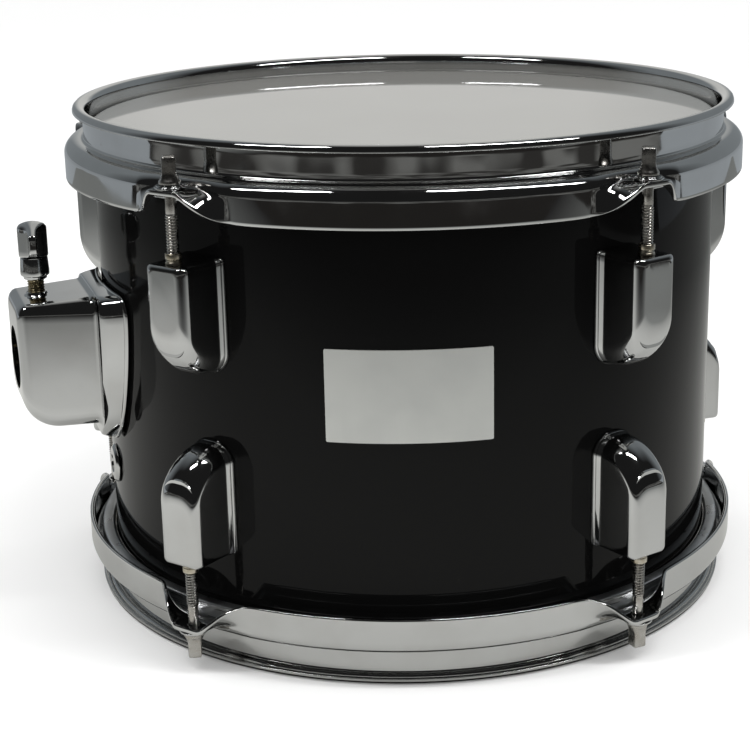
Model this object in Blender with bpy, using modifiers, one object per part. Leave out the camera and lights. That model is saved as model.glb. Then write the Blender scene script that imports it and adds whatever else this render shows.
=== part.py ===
"""A 12 in rack tom-tom: a wrapped ply shell with a head at each end.

Every length is in metres and every angle in degrees. The drum's axis is Z and the badge faces -Y.
The origin is the centre of the batter head's playing face. An azimuth is counted from the front,
-Y, towards +X. Pieces that repeat at both ends are drawn once, as depths below the batter rim, and
are turned over about Y for the resonant end.
"""
import math

import bmesh
import bpy
import numpy as np
from mathutils import Matrix

# Gap between two pieces that touch
SEAT_GAP = 0.0003

# Shell and the wrap round it
WRAP_RADIUS = 0.1515
WRAP_THICKNESS = 0.0006
WRAP_INSET = 0.005
PLY_THICKNESS = 0.006
SHELL_DEPTH = 0.2208
EDGE_ROUND = 0.0022

# Heads
FILM_THICKNESS = 0.0003
COLLAR_PLAY = 0.0008
COLLAR_ROUND = 0.003
FLESH_WIDTH = 0.006
FLESH_HEIGHT = 0.0105
RIM_RISE = 0.009

# Triple-flanged hoops
HOOP_SHEET = 0.002
FLANGE_REACH = 0.0045
BEND_RADIUS = 0.0016
WALL_DEPTH = 0.0152
SHOULDER_DEPTH = 0.0223
SHOULDER_FILLET = 0.0015
SHOULDER_RISE = 0.0064
SHOULDER_TURNS = (18.0, 53.0)
SKIRT_DEPTH = 0.0343
SKIRT_PLAY = 0.0037
EAR_DEPTH = 0.020
EAR_MARGIN = 0.0065
EAR_FLAT_HALF = 0.0065
EAR_SWEEP_HALF = 0.0245

# Lug positions and tension rods
LUG_AZIMUTHS = (-108.0, -36.0, 36.0, 108.0, 180.0)
ROD_STANDOFF = 0.005
ROD_HEAD_DEPTH = 0.0062
HEAD_SQUARE = 0.006
HEAD_FLARE_RADIUS = 0.0046
HEAD_FLARE_HEIGHT = 0.0016
SHANK_RADIUS = 0.00235
THREAD_RADIUS = 0.0027
SHANK_LENGTH = 0.0125
ROD_LENGTH = 0.0455
ROD_PLAY = 0.0006
WASHER_RADIUS = 0.0066
WASHER_THICKNESS = 0.0014
WASHER_PLAY = 0.0006

# Lug castings
LUG_DEPTH = 0.0517
LUG_LENGTH = 0.0527
LUG_HALF_WIDTH = 0.0109
LUG_DRAFT = 0.0001
LUG_FRONT_WALL = 0.0075
LUG_FOOT_LEDGE = 0.0011
LUG_FOOT_HEIGHT = 0.0043
LUG_EDGE_ROUND = 0.0042
LUG_TOE_ROUND = 0.0022
LUG_HEEL_RUN = 0.023
LUG_WALL = 0.0022
NUT_NECK_RADIUS = 0.0036
NUT_NECK_LENGTH = 0.0044
NUT_BARREL_RADIUS = 0.0048
NUT_BARREL_LENGTH = 0.0125
NUT_PLAY = 0.0005

# Arm bracket on the shell's left side
BRACKET_AZIMUTH = -72.0
BORE_RADIUS = 0.015
BORE_DEPTH = 0.1140
FOOT_HALF_WIDTH = 0.038
FOOT_RISE = 0.0345
FOOT_FALL = 0.0420
FOOT_THICKNESS = 0.0082
FOOT_SLOPE = 0.005
FOOT_SLOPE_END = 0.0025
FOOT_TOP_ROUND = 0.009
FOOT_BOTTOM_ROUND = 0.014
FOOT_TAPER = 0.0185
FOOT_TAPER_POWER = 2.3
HOUSING_REACH = 0.0445
HOUSING_HALF_WIDTH = 0.0205
HOUSING_FLARE = 0.005
HOUSING_RISE = 0.0290
HOUSING_FALL = 0.0315
HOUSING_CROWN = 0.002
HOUSING_EDGE_ROUND = 0.0045
HOUSING_HEEL_ROUND = 0.017
SHELL_HOLE_MARGIN = 0.002

# Clamp bolt and shoe
BOLT_STANDOFF = 0.0325
BOLT_THREAD_RADIUS = 0.004
BOLT_PLAY = 0.0004
BOSS_RADIUS = 0.0062
BOSS_HEIGHT = 0.0014
BOLT_GAP = 0.0068
BOLT_COLLAR_RADIUS = 0.0054
BOLT_COLLAR_HEIGHT = 0.0018
HUB_RADIUS = 0.0067
HUB_HEIGHT = 0.0088
WING_AZIMUTH = 11.6
WING_REACH = 0.014
WING_HALF_WIDTH = 0.0071
WING_TIP_HALF = 0.0037
WING_HEIGHT = 0.0168
WING_DROOP = 0.0036
WING_TIP_HEIGHT = 0.0085
SHOE_RADIUS = 0.0062
SHOE_HEIGHT = 0.0065
SHOE_PLAY = 0.0004
SHOE_LIFT = 0.0015

# Vent grommet and badge
VENT_AZIMUTH = -72.0
VENT_CLEARANCE = 0.0077
VENT_FLANGE_RADIUS = 0.0095
VENT_TUBE_RADIUS = 0.0055
VENT_BORE_RADIUS = 0.0042
VENT_DOME = 0.0022
VENT_CURL = 0.0012
BADGE_AZIMUTH = -0.65
BADGE_WIDTH = 0.0725
BADGE_HEIGHT = 0.0415
BADGE_DEPTH = 0.1087
BADGE_THICKNESS = 0.0006

# Facets
ROUND_STEPS = 48
SMALL_STEPS = 10
EAR_SWEEP_STEPS = 4
HOOP_SPAN_STEPS = 4
BADGE_STEPS = 10

# Planes, radii and depths that follow from the sizes above
EDGE_TOP = -(FILM_THICKNESS + SEAT_GAP)
EDGE_BOTTOM = EDGE_TOP - SHELL_DEPTH
RESONANT_FACE = EDGE_BOTTOM - (FILM_THICKNESS + SEAT_GAP)
RIM_TOP = RIM_RISE
RIM_BOTTOM = RESONANT_FACE - RIM_RISE
PLY_RADIUS = WRAP_RADIUS - WRAP_THICKNESS - SEAT_GAP
SHELL_INNER_RADIUS = PLY_RADIUS - PLY_THICKNESS
COLLAR_RADIUS = WRAP_RADIUS + COLLAR_PLAY + FILM_THICKNESS
FLESH_INNER_RADIUS = COLLAR_RADIUS + 2 * SEAT_GAP
FLESH_OUTER_RADIUS = FLESH_INNER_RADIUS + FLESH_WIDTH
HOOP_WALL_RADIUS = FLESH_INNER_RADIUS + SEAT_GAP + HOOP_SHEET
SKIRT_RADIUS = FLESH_OUTER_RADIUS + SKIRT_PLAY + HOOP_SHEET
ROD_RADIUS = SKIRT_RADIUS + ROD_STANDOFF
EAR_RADIUS = ROD_RADIUS + EAR_MARGIN
UNDER_HEAD_DEPTH = EAR_DEPTH - WASHER_THICKNESS - 2 * SEAT_GAP
LUG_FRONT_RADIUS = ROD_RADIUS + LUG_FRONT_WALL
LUG_BACK_RADIUS = WRAP_RADIUS + SEAT_GAP
BRACKET_SEAT_RADIUS = WRAP_RADIUS + SEAT_GAP
FOOT_RADIUS = BRACKET_SEAT_RADIUS + FOOT_THICKNESS
HOUSING_BACK_RADIUS = FOOT_RADIUS + SEAT_GAP
HOUSING_FACE_RADIUS = WRAP_RADIUS + HOUSING_REACH
BOLT_RADIUS = WRAP_RADIUS + BOLT_STANDOFF
VENT_DEPTH = BORE_DEPTH + FOOT_FALL + VENT_CLEARANCE + VENT_FLANGE_RADIUS


def clear_scene():
    """Remove whatever objects the file opened with."""
    for obj in list(bpy.data.objects):
        bpy.data.objects.remove(obj, do_unlink=True)


def new_collection(name):
    """Make a collection under the scene's own."""
    collection = bpy.data.collections.new(name)
    bpy.context.scene.collection.children.link(collection)
    return collection


def new_material(name, colour, roughness, metallic):
    """A plain Principled material."""
    material = bpy.data.materials.new(name)
    material.use_nodes = True
    shader = material.node_tree.nodes["Principled BSDF"]
    shader.inputs["Base Color"].default_value = (*colour, 1.0)
    shader.inputs["Roughness"].default_value = roughness
    shader.inputs["Metallic"].default_value = metallic
    return material


def chrome(name):
    """Bright nickel-chrome plating."""
    return new_material(name, (0.82, 0.83, 0.83), 0.08, 1.0)


def add_object(name, mesh, collection, material=None):
    """Put a mesh in a collection as one named object."""
    obj = bpy.data.objects.new(name, mesh)
    collection.objects.link(obj)
    if material is not None:
        mesh.materials.clear()
        mesh.materials.append(material)
    return obj


def make_cutter(obj):
    """Keep an object out of the model: it only cuts or joins others."""
    obj.hide_render = True
    obj.display_type = "WIRE"
    return obj


def cut(obj, cutter, operation="DIFFERENCE"):
    """Add an exact Boolean."""
    modifier = obj.modifiers.new(operation.title(), "BOOLEAN")
    modifier.operation = operation
    modifier.solver = "EXACT"
    modifier.object = cutter


def smooth(obj, angle=35.0):
    """Shade round faces smooth and keep the edges sharper than the angle."""
    obj.data.shade_smooth()
    obj.data.set_sharp_from_angle(angle=math.radians(angle))


def end_matrix(resonant):
    """The frame of one end of the drum: origin at its rim, depths run along -Z."""
    if resonant:
        return Matrix.Translation((0, 0, RIM_BOTTOM)) @ Matrix.Rotation(math.pi, 4, "Y")
    return Matrix.Translation((0, 0, RIM_TOP))


def around(azimuth, radius=0.0):
    """A frame turned to an azimuth and moved out to a radius: its -Y points outwards."""
    turn = Matrix.Rotation(math.radians(azimuth), 4, "Z")
    return turn @ Matrix.Translation((0, -radius, 0))


def turned_mesh(name, profile, steps):
    """Turn a closed profile of (radius, z) about Z.

    The profile runs down its outer side and back up its inner side, or along the axis.
    """
    mesh = bpy.data.meshes.new(name)
    points = [(radius, 0, z) for radius, z in profile]
    count = len(points)
    on_axis = profile[0][0] == 0 and profile[-1][0] == 0
    edges = [(i, i + 1) for i in range(count - 1)]
    if not on_axis:
        edges.append((count - 1, 0))
    mesh.from_pydata(points, edges, [])
    shape = bpy.data.objects.new(name, mesh)
    bpy.context.scene.collection.objects.link(shape)
    screw = shape.modifiers.new("Turn", "SCREW")
    screw.steps = steps
    screw.render_steps = steps
    screw.use_merge_vertices = True
    screw.merge_threshold = 0.00001
    bpy.context.view_layer.update()
    evaluated = shape.evaluated_get(bpy.context.evaluated_depsgraph_get())
    result = bpy.data.meshes.new_from_object(evaluated)
    bpy.data.objects.remove(shape, do_unlink=True)
    face_out(result)
    return result


def face_out(mesh):
    """Merge doubled points and turn every face of a closed mesh outwards."""
    edit = bmesh.new()
    edit.from_mesh(mesh)
    bmesh.ops.remove_doubles(edit, verts=edit.verts, dist=0.000001)
    bmesh.ops.recalc_face_normals(edit, faces=edit.faces)
    edit.to_mesh(mesh)
    edit.free()


def loft_mesh(name, rings):
    """Join rings of equally many points, each an (n, 3) array, and cap the first and the last."""
    count = len(rings[0])
    points = np.concatenate(rings)
    faces = [list(range(count)), list(range(len(points) - count, len(points)))]
    for ring in range(len(rings) - 1):
        low = ring * count
        high = low + count
        for i in range(count):
            j = (i + 1) % count
            faces.append([low + i, low + j, high + j, high + i])
    mesh = bpy.data.meshes.new(name)
    mesh.from_pydata(points.tolist(), [], faces)
    face_out(mesh)
    return mesh


def cylinder_cutter(name, radius, length, matrix, collection, steps=SMALL_STEPS * 2):
    """A cylinder along the frame's Z, centred on its origin."""
    mesh = bpy.data.meshes.new(name)
    edit = bmesh.new()
    bmesh.ops.create_cone(edit, cap_ends=True, segments=steps, radius1=radius, radius2=radius, depth=length)
    edit.to_mesh(mesh)
    edit.free()
    obj = make_cutter(add_object(name, mesh, collection))
    obj.matrix_world = matrix
    return obj


def radial_axis(azimuth, radius, z):
    """A frame on the shell whose Z points straight out from the drum's axis."""
    return Matrix.Translation((0, 0, z)) @ around(azimuth, radius) @ Matrix.Rotation(math.pi / 2, 4, "X")


def arc(centre_x, centre_z, radius, start, end, count):
    """Points of an arc, in degrees from +X towards +Z."""
    angles = np.radians(np.linspace(start, end, count))
    return np.stack([centre_x + radius * np.cos(angles), centre_z + radius * np.sin(angles)], 1)


def between(start, end, spans):
    """Points that split a straight edge into equal spans, without its two ends."""
    return np.linspace(start, end, spans + 1)[1:-1]


def rounded_outline(half_width, top, bottom, rounds, points, spans):
    """A rectangle in X and Z, counter-clockwise from its right side.

    rounds, points and spans each name the upper then the lower side: the corners' radius, the
    points on each corner, and the spans of the straight edge between the corners. A third span is
    for the left and right sides.
    """
    high, low = rounds
    right_high = arc(half_width - high, top - high, high, 0, 90, points[0])
    left_high = arc(high - half_width, top - high, high, 90, 180, points[0])
    left_low = arc(low - half_width, bottom + low, low, 180, 270, points[1])
    right_low = arc(half_width - low, bottom + low, low, 270, 360, points[1])
    return np.concatenate([
        right_high,
        between(right_high[-1], left_high[0], spans[0]),
        left_high,
        between(left_high[-1], left_low[0], spans[2]),
        left_low,
        between(left_low[-1], right_low[0], spans[1]),
        right_low,
        between(right_low[-1], right_high[0], spans[2]),
    ])


def at_radius(outline, radius):
    """Lay an (x, z) outline on the flat plane at a radius."""
    x, z = outline.T
    return np.stack([x, np.full_like(x, -radius), z], 1)


def on_shell(outline, radius):
    """Lay an (x, z) outline on the cylinder of a radius."""
    x, z = outline.T
    return np.stack([x, -np.sqrt(radius ** 2 - x ** 2), z], 1)


def make_shell(parts, cutters):
    """The ply tube: bevelled to a bearing edge at each end, holed for the arm and the vent."""
    peak = PLY_RADIUS - EDGE_ROUND
    slope = peak - SHELL_INNER_RADIUS
    profile = [
        (peak, EDGE_TOP),
        (PLY_RADIUS, EDGE_TOP - EDGE_ROUND),
        (PLY_RADIUS, EDGE_BOTTOM + EDGE_ROUND),
        (peak, EDGE_BOTTOM),
        (SHELL_INNER_RADIUS, EDGE_BOTTOM + slope),
        (SHELL_INNER_RADIUS, EDGE_TOP - slope),
    ]
    maple = new_material("ply", (0.55, 0.36, 0.19), 0.5, 0.0)
    shell = add_object("shell", turned_mesh("shell", profile, ROUND_STEPS), parts, maple)
    low = EDGE_BOTTOM + WRAP_INSET
    high = EDGE_TOP - WRAP_INSET
    inner = WRAP_RADIUS - WRAP_THICKNESS
    skin = [(WRAP_RADIUS, high), (WRAP_RADIUS, low), (inner, low), (inner, high)]
    black = new_material("wrap", (0.012, 0.012, 0.013), 0.06, 0.0)
    wrap = add_object("wrap", turned_mesh("wrap", skin, ROUND_STEPS), parts, black)
    reach = 4 * PLY_THICKNESS
    arm_hole = cylinder_cutter(
        "cut_arm_hole", BORE_RADIUS + SHELL_HOLE_MARGIN, reach,
        radial_axis(BRACKET_AZIMUTH, PLY_RADIUS, RIM_TOP - BORE_DEPTH), cutters)
    vent_hole = cylinder_cutter(
        "cut_vent_hole", VENT_TUBE_RADIUS + SEAT_GAP, reach,
        radial_axis(VENT_AZIMUTH, PLY_RADIUS, RIM_TOP - VENT_DEPTH), cutters, SMALL_STEPS)
    for obj in (shell, wrap):
        cut(obj, arm_hole)
        cut(obj, vent_hole)
        smooth(obj)


def hoop_section(ear):
    """The outer side of a hoop's sheet, from the flange's edge to the skirt's or ear's edge.

    ear runs from 0 between the rods to 1 at a rod: the skirt swings up and out into a flat tab.
    """
    wall = HOOP_WALL_RADIUS
    flange = wall + FLANGE_REACH
    bend = BEND_RADIUS
    foot = wall + SHOULDER_FILLET
    turns = np.radians(SHOULDER_TURNS)
    shoulder = np.stack([
        foot + (SKIRT_RADIUS - foot) * np.sin(turns),
        SHOULDER_DEPTH - SHOULDER_RISE * np.cos(turns),
    ], 1)
    # At an ear the shoulder is drawn in, clear of the washer.
    clear = ROD_RADIUS - WASHER_RADIUS - WASHER_PLAY
    shoulder[1, 0] += ear * (0.35 * shoulder[0, 0] + 0.65 * clear - shoulder[1, 0])
    shoulder[1, 1] += ear * (shoulder.mean(axis=0)[1] - shoulder[1, 1])
    crease_radius = SKIRT_RADIUS + ear * (clear - SKIRT_RADIUS)
    crease_depth = SHOULDER_DEPTH + ear * (EAR_DEPTH - SHOULDER_DEPTH)
    edge_radius = SKIRT_RADIUS + ear * (EAR_RADIUS - SKIRT_RADIUS)
    edge_depth = SKIRT_DEPTH + ear * (EAR_DEPTH - SKIRT_DEPTH)
    return np.array([
        (flange, HOOP_SHEET),
        (wall + bend, HOOP_SHEET),
        (wall, HOOP_SHEET + bend),
        (wall, WALL_DEPTH),
        *shoulder,
        (crease_radius, crease_depth),
        (edge_radius, edge_depth),
    ])


def hoop_stations():
    """Azimuths round a hoop, close together across each ear, each with its share of ear."""
    flat = math.degrees(EAR_FLAT_HALF / ROD_RADIUS)
    sweep = math.degrees(EAR_SWEEP_HALF / ROD_RADIUS)
    half_span = 180.0 / len(LUG_AZIMUTHS)
    shares = np.linspace(0.0, 1.0, EAR_SWEEP_STEPS)
    offsets = list(flat + shares * (sweep - flat))
    ears = list(1.0 - shares ** 2 * (3 - 2 * shares))
    step = (half_span - sweep) / HOOP_SPAN_STEPS
    offsets += [sweep + step * i for i in range(1, HOOP_SPAN_STEPS + 1)]
    ears += [0.0] * HOOP_SPAN_STEPS
    stations = []
    for azimuth in LUG_AZIMUTHS:
        stations += [(azimuth - o, e) for o, e in zip(reversed(offsets), reversed(ears))]
        stations += [(azimuth + o, e) for o, e in zip(offsets[:-1], ears[:-1])]
    return stations


def make_hoop(name, resonant, parts, cutters):
    """A pressed steel hoop: a sheet lofted round its stations, thickened, then drilled."""
    rings = []
    for azimuth, ear in hoop_stations():
        radius, depth = hoop_section(ear).T
        angle = math.radians(azimuth)
        rings.append(np.stack([radius * math.sin(angle), -radius * math.cos(angle), -depth], 1))
    count = len(rings[0])
    total = len(rings)
    faces = []
    for ring in range(total):
        low = ring * count
        high = (ring + 1) % total * count
        faces += [[low + i, high + i, high + i + 1, low + i + 1] for i in range(count - 1)]
    mesh = bpy.data.meshes.new(name)
    mesh.from_pydata(np.concatenate(rings).tolist(), [], faces)
    hoop = add_object(name, mesh, parts, chrome(name))
    hoop.matrix_world = end_matrix(resonant)
    sheet = hoop.modifiers.new("Sheet", "SOLIDIFY")
    sheet.thickness = HOOP_SHEET
    sheet.offset = 1.0
    sheet.use_even_offset = True
    for azimuth in LUG_AZIMUTHS:
        place = end_matrix(resonant) @ around(azimuth, ROD_RADIUS) @ Matrix.Translation((0, 0, -EAR_DEPTH))
        label = f"cut_{name}_{azimuth:.0f}"
        hole = cylinder_cutter(label, THREAD_RADIUS + ROD_PLAY, 4 * HOOP_SHEET, place, cutters, SMALL_STEPS)
        cut(hoop, hole)
    smooth(hoop)
    return hoop


def flesh_top(radius):
    """Depth of the flesh hoop's top where the hoop's shoulder, one sheet thick, bears on it."""
    depths = []
    for ear in (0.0, 1.0):
        section = hoop_section(ear)
        for start, end in zip(section[3:5], section[4:6]):
            along = (end - start) / np.linalg.norm(end - start)
            inwards = np.array([-along[1], along[0]])
            start = start + inwards * (HOOP_SHEET + SEAT_GAP)
            depths.append(start[1] + (radius - start[0]) * along[1] / along[0])
    return max(depths)


def make_head(prefix, resonant, parts):
    """A head: the film with its collar, and the flesh hoop that the film is held in."""
    shoulder_radius = HOOP_WALL_RADIUS - SEAT_GAP
    outer_depth = flesh_top(FLESH_OUTER_RADIUS)
    inner_depth = flesh_top(shoulder_radius)
    ring_profile = [
        (shoulder_radius, -inner_depth),
        (FLESH_OUTER_RADIUS, -outer_depth),
        (FLESH_OUTER_RADIUS, -inner_depth - FLESH_HEIGHT),
        (FLESH_INNER_RADIUS, -inner_depth - FLESH_HEIGHT),
        (FLESH_INNER_RADIUS, -inner_depth),
    ]
    name = f"{prefix}_flesh_hoop"
    grey = new_material(name, (0.66, 0.67, 0.68), 0.35, 1.0)
    ring = add_object(name, turned_mesh(name, ring_profile, ROUND_STEPS), parts, grey)
    film_low = -inner_depth - FLESH_HEIGHT + FLESH_WIDTH / 3
    under = COLLAR_RADIUS - FILM_THICKNESS
    collar_top = RIM_RISE + COLLAR_ROUND
    film_profile = [
        (0, -RIM_RISE),
        (COLLAR_RADIUS - COLLAR_ROUND, -RIM_RISE),
        (COLLAR_RADIUS, -collar_top),
        (COLLAR_RADIUS, film_low),
        (under, film_low),
        (under, -collar_top),
        (under - COLLAR_ROUND, -RIM_RISE - FILM_THICKNESS),
        (0, -RIM_RISE - FILM_THICKNESS),
    ]
    name = f"{prefix}_head"
    white = new_material(name, (0.86, 0.86, 0.83), 0.3, 0.0)
    film = add_object(name, turned_mesh(name, film_profile, ROUND_STEPS), parts, white)
    for obj in (ring, film):
        obj.matrix_world = end_matrix(resonant)
        smooth(obj)


def octagon(half, corner, z):
    """Eight points round Z: a square of a half width with its corners cut at a reach from Z."""
    chamfer = corner * math.sqrt(2) - half
    corners = [(half, chamfer), (chamfer, half), (-chamfer, half), (-half, chamfer)]
    corners += [(-x, -y) for x, y in corners]
    return np.array([(x, y, z) for x, y in corners])


def round_ring(radius, z):
    """An octagon that stands for a circle."""
    return octagon(radius * math.cos(math.pi / 8), radius * math.cos(math.pi / 8), z)


def rod_mesh():
    """A tension rod: key-turned square head, flared foot, plain shank, then thread."""
    half = HEAD_SQUARE / 2
    corner = 1.12 * half
    chamfer = HEAD_SQUARE / 10
    foot = UNDER_HEAD_DEPTH
    flare = foot - HEAD_FLARE_HEIGHT
    shank_end = foot + SHANK_LENGTH
    tip = foot + ROD_LENGTH
    return loft_mesh("tension_rod", [
        octagon(half - chamfer, corner - chamfer, -ROD_HEAD_DEPTH),
        octagon(half, corner, -ROD_HEAD_DEPTH - chamfer),
        octagon(half, corner, -flare + HEAD_FLARE_HEIGHT),
        round_ring(HEAD_FLARE_RADIUS, -flare),
        round_ring(HEAD_FLARE_RADIUS, -foot),
        round_ring(SHANK_RADIUS, -foot),
        round_ring(SHANK_RADIUS, -shank_end),
        round_ring(THREAD_RADIUS, -shank_end - chamfer),
        round_ring(THREAD_RADIUS, -tip),
    ])


def washer_mesh():
    """A flat washer between a rod's head and its ear."""
    hole = THREAD_RADIUS + ROD_PLAY
    top = -(EAR_DEPTH - SEAT_GAP - WASHER_THICKNESS)
    bottom = top - WASHER_THICKNESS
    profile = [(WASHER_RADIUS, top), (WASHER_RADIUS, bottom), (hole, bottom), (hole, top)]
    return turned_mesh("washer", profile, SMALL_STEPS)


def nut_mesh():
    """A swivel nut: its neck stands out of the lug and its barrel bears on the lug's end wall."""
    bore = THREAD_RADIUS + NUT_PLAY
    neck = -(LUG_DEPTH - NUT_NECK_LENGTH)
    shoulder = -(LUG_DEPTH + LUG_WALL + SEAT_GAP)
    end = shoulder - NUT_BARREL_LENGTH
    profile = [
        (NUT_NECK_RADIUS, neck),
        (NUT_NECK_RADIUS, shoulder),
        (NUT_BARREL_RADIUS, shoulder),
        (NUT_BARREL_RADIUS, end),
        (bore, end),
        (bore, neck),
    ]
    return turned_mesh("swivel_nut", profile, SMALL_STEPS - 2)


def lug_outline(half_width, toe, heel, heel_round):
    """A lug's outline at one level: flat at the nut's end, round at the other."""
    return rounded_outline(half_width, -toe, -heel, (LUG_TOE_ROUND, heel_round), (2, 4), (2, 1, 1))


def lug_body(share, inset):
    """The casing's outline at a share of its height over the foot, drawn in by an inset.

    The heel follows a quarter ellipse from the foot to the front face, and the long edges of the
    front face are rounded.
    """
    height = LUG_FRONT_RADIUS - LUG_BACK_RADIUS - LUG_FOOT_HEIGHT
    below_front = (1 - share) * height
    rounding = max(0.0, LUG_EDGE_ROUND - below_front)
    pull = LUG_EDGE_ROUND - math.sqrt(LUG_EDGE_ROUND ** 2 - rounding ** 2)
    half_width = LUG_HALF_WIDTH - LUG_DRAFT * share - pull - inset
    toe = LUG_DEPTH + pull / 2 + inset
    run = LUG_HEEL_RUN * (1 - math.sqrt(1 - share ** 2))
    heel = LUG_DEPTH + LUG_LENGTH - LUG_FOOT_LEDGE - run - inset
    return lug_outline(half_width, toe, heel, 0.8 * half_width)


def lug_mesh():
    """A lug: a thin die casting, open behind, with a foot that hugs the wrap."""
    height = LUG_FRONT_RADIUS - LUG_BACK_RADIUS - LUG_FOOT_HEIGHT
    foot_radius = LUG_BACK_RADIUS + LUG_FOOT_HEIGHT
    foot_half = LUG_HALF_WIDTH + LUG_FOOT_LEDGE
    foot = lug_outline(foot_half, LUG_DEPTH, LUG_DEPTH + LUG_LENGTH, 0.9 * foot_half)
    inner_front = LUG_FRONT_RADIUS - LUG_WALL
    rings = [at_radius(lug_body(0.8, LUG_WALL), inner_front)]
    rings.append(on_shell(lug_body(0.0, LUG_WALL), LUG_BACK_RADIUS))
    rings.append(on_shell(foot, LUG_BACK_RADIUS))
    rings.append(on_shell(foot, foot_radius))
    rings.append(on_shell(lug_body(0.0, 0.0), foot_radius))
    for share in (0.4, 0.68, 0.85, 0.95, 1.0):
        rings.append(at_radius(lug_body(share, 0.0), foot_radius + share * height))
    return loft_mesh("lug", rings)


def make_fastenings(parts, cutters):
    """The lugs, swivel nuts, washers and tension rods of both ends."""
    meshes = {
        "lug": (lug_mesh(), chrome("lug")),
        "swivel_nut": (nut_mesh(), new_material("swivel_nut", (0.66, 0.62, 0.52), 0.28, 1.0)),
        "washer": (washer_mesh(), chrome("washer")),
        "tension_rod": (rod_mesh(), new_material("tension_rod", (0.6, 0.59, 0.55), 0.25, 1.0)),
    }
    for end, resonant in (("batter", False), ("resonant", True)):
        frame = end_matrix(resonant)
        for number, azimuth in enumerate(LUG_AZIMUTHS, start=1):
            if resonant:
                azimuth = -azimuth
            on_rod = frame @ around(azimuth, ROD_RADIUS)
            for kind, (mesh, material) in meshes.items():
                obj = add_object(f"{end}_{kind}_{number}", mesh, parts, material)
                obj.matrix_world = frame @ around(azimuth) if kind == "lug" else on_rod
                smooth(obj, 40.0)
                if kind == "lug":
                    place = on_rod @ Matrix.Translation((0, 0, -LUG_DEPTH))
                    label = f"cut_{end}_lug_{number}"
                    neck = NUT_NECK_RADIUS + NUT_PLAY
                    cut(obj, cylinder_cutter(label, neck, 4 * LUG_WALL, place, cutters, SMALL_STEPS - 2))


def foot_outline(inset):
    """The bracket foot's outline about the bore's axis, drawn in by an inset: a tapered shield."""
    outline = rounded_outline(
        FOOT_HALF_WIDTH - inset, FOOT_RISE - inset / 4, inset / 2 - FOOT_FALL,
        (FOOT_TOP_ROUND, FOOT_BOTTOM_ROUND - inset / 2), (4, 4), (6, 2, 4))
    share = (FOOT_RISE - outline[:, 1]) / (FOOT_RISE + FOOT_FALL)
    outline[:, 0] *= 1 - FOOT_TAPER / FOOT_HALF_WIDTH * share ** FOOT_TAPER_POWER
    return outline


def housing_ring(share):
    """The bracket housing's outline at a share of its reach, rounded into its outer face."""
    reach = HOUSING_FACE_RADIUS - HOUSING_BACK_RADIUS
    short = (1 - share) * reach
    edge = max(0.0, HOUSING_EDGE_ROUND - short)
    pull = HOUSING_EDGE_ROUND - math.sqrt(HOUSING_EDGE_ROUND ** 2 - edge ** 2)
    heel = max(0.0, HOUSING_HEEL_ROUND - short)
    lift = HOUSING_HEEL_ROUND - math.sqrt(HOUSING_HEEL_ROUND ** 2 - heel ** 2)
    half_width = HOUSING_HALF_WIDTH + HOUSING_FLARE * (1 - share) - pull
    top = HOUSING_RISE + HOUSING_CROWN * (1 - share) - pull
    corner = HOUSING_EDGE_ROUND * (1.8 - 0.8 * share)
    outline = rounded_outline(half_width, top, lift - HOUSING_FALL, (corner, corner), (4, 4), (1, 1, 1))
    return at_radius(outline, HOUSING_BACK_RADIUS + share * reach)


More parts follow.
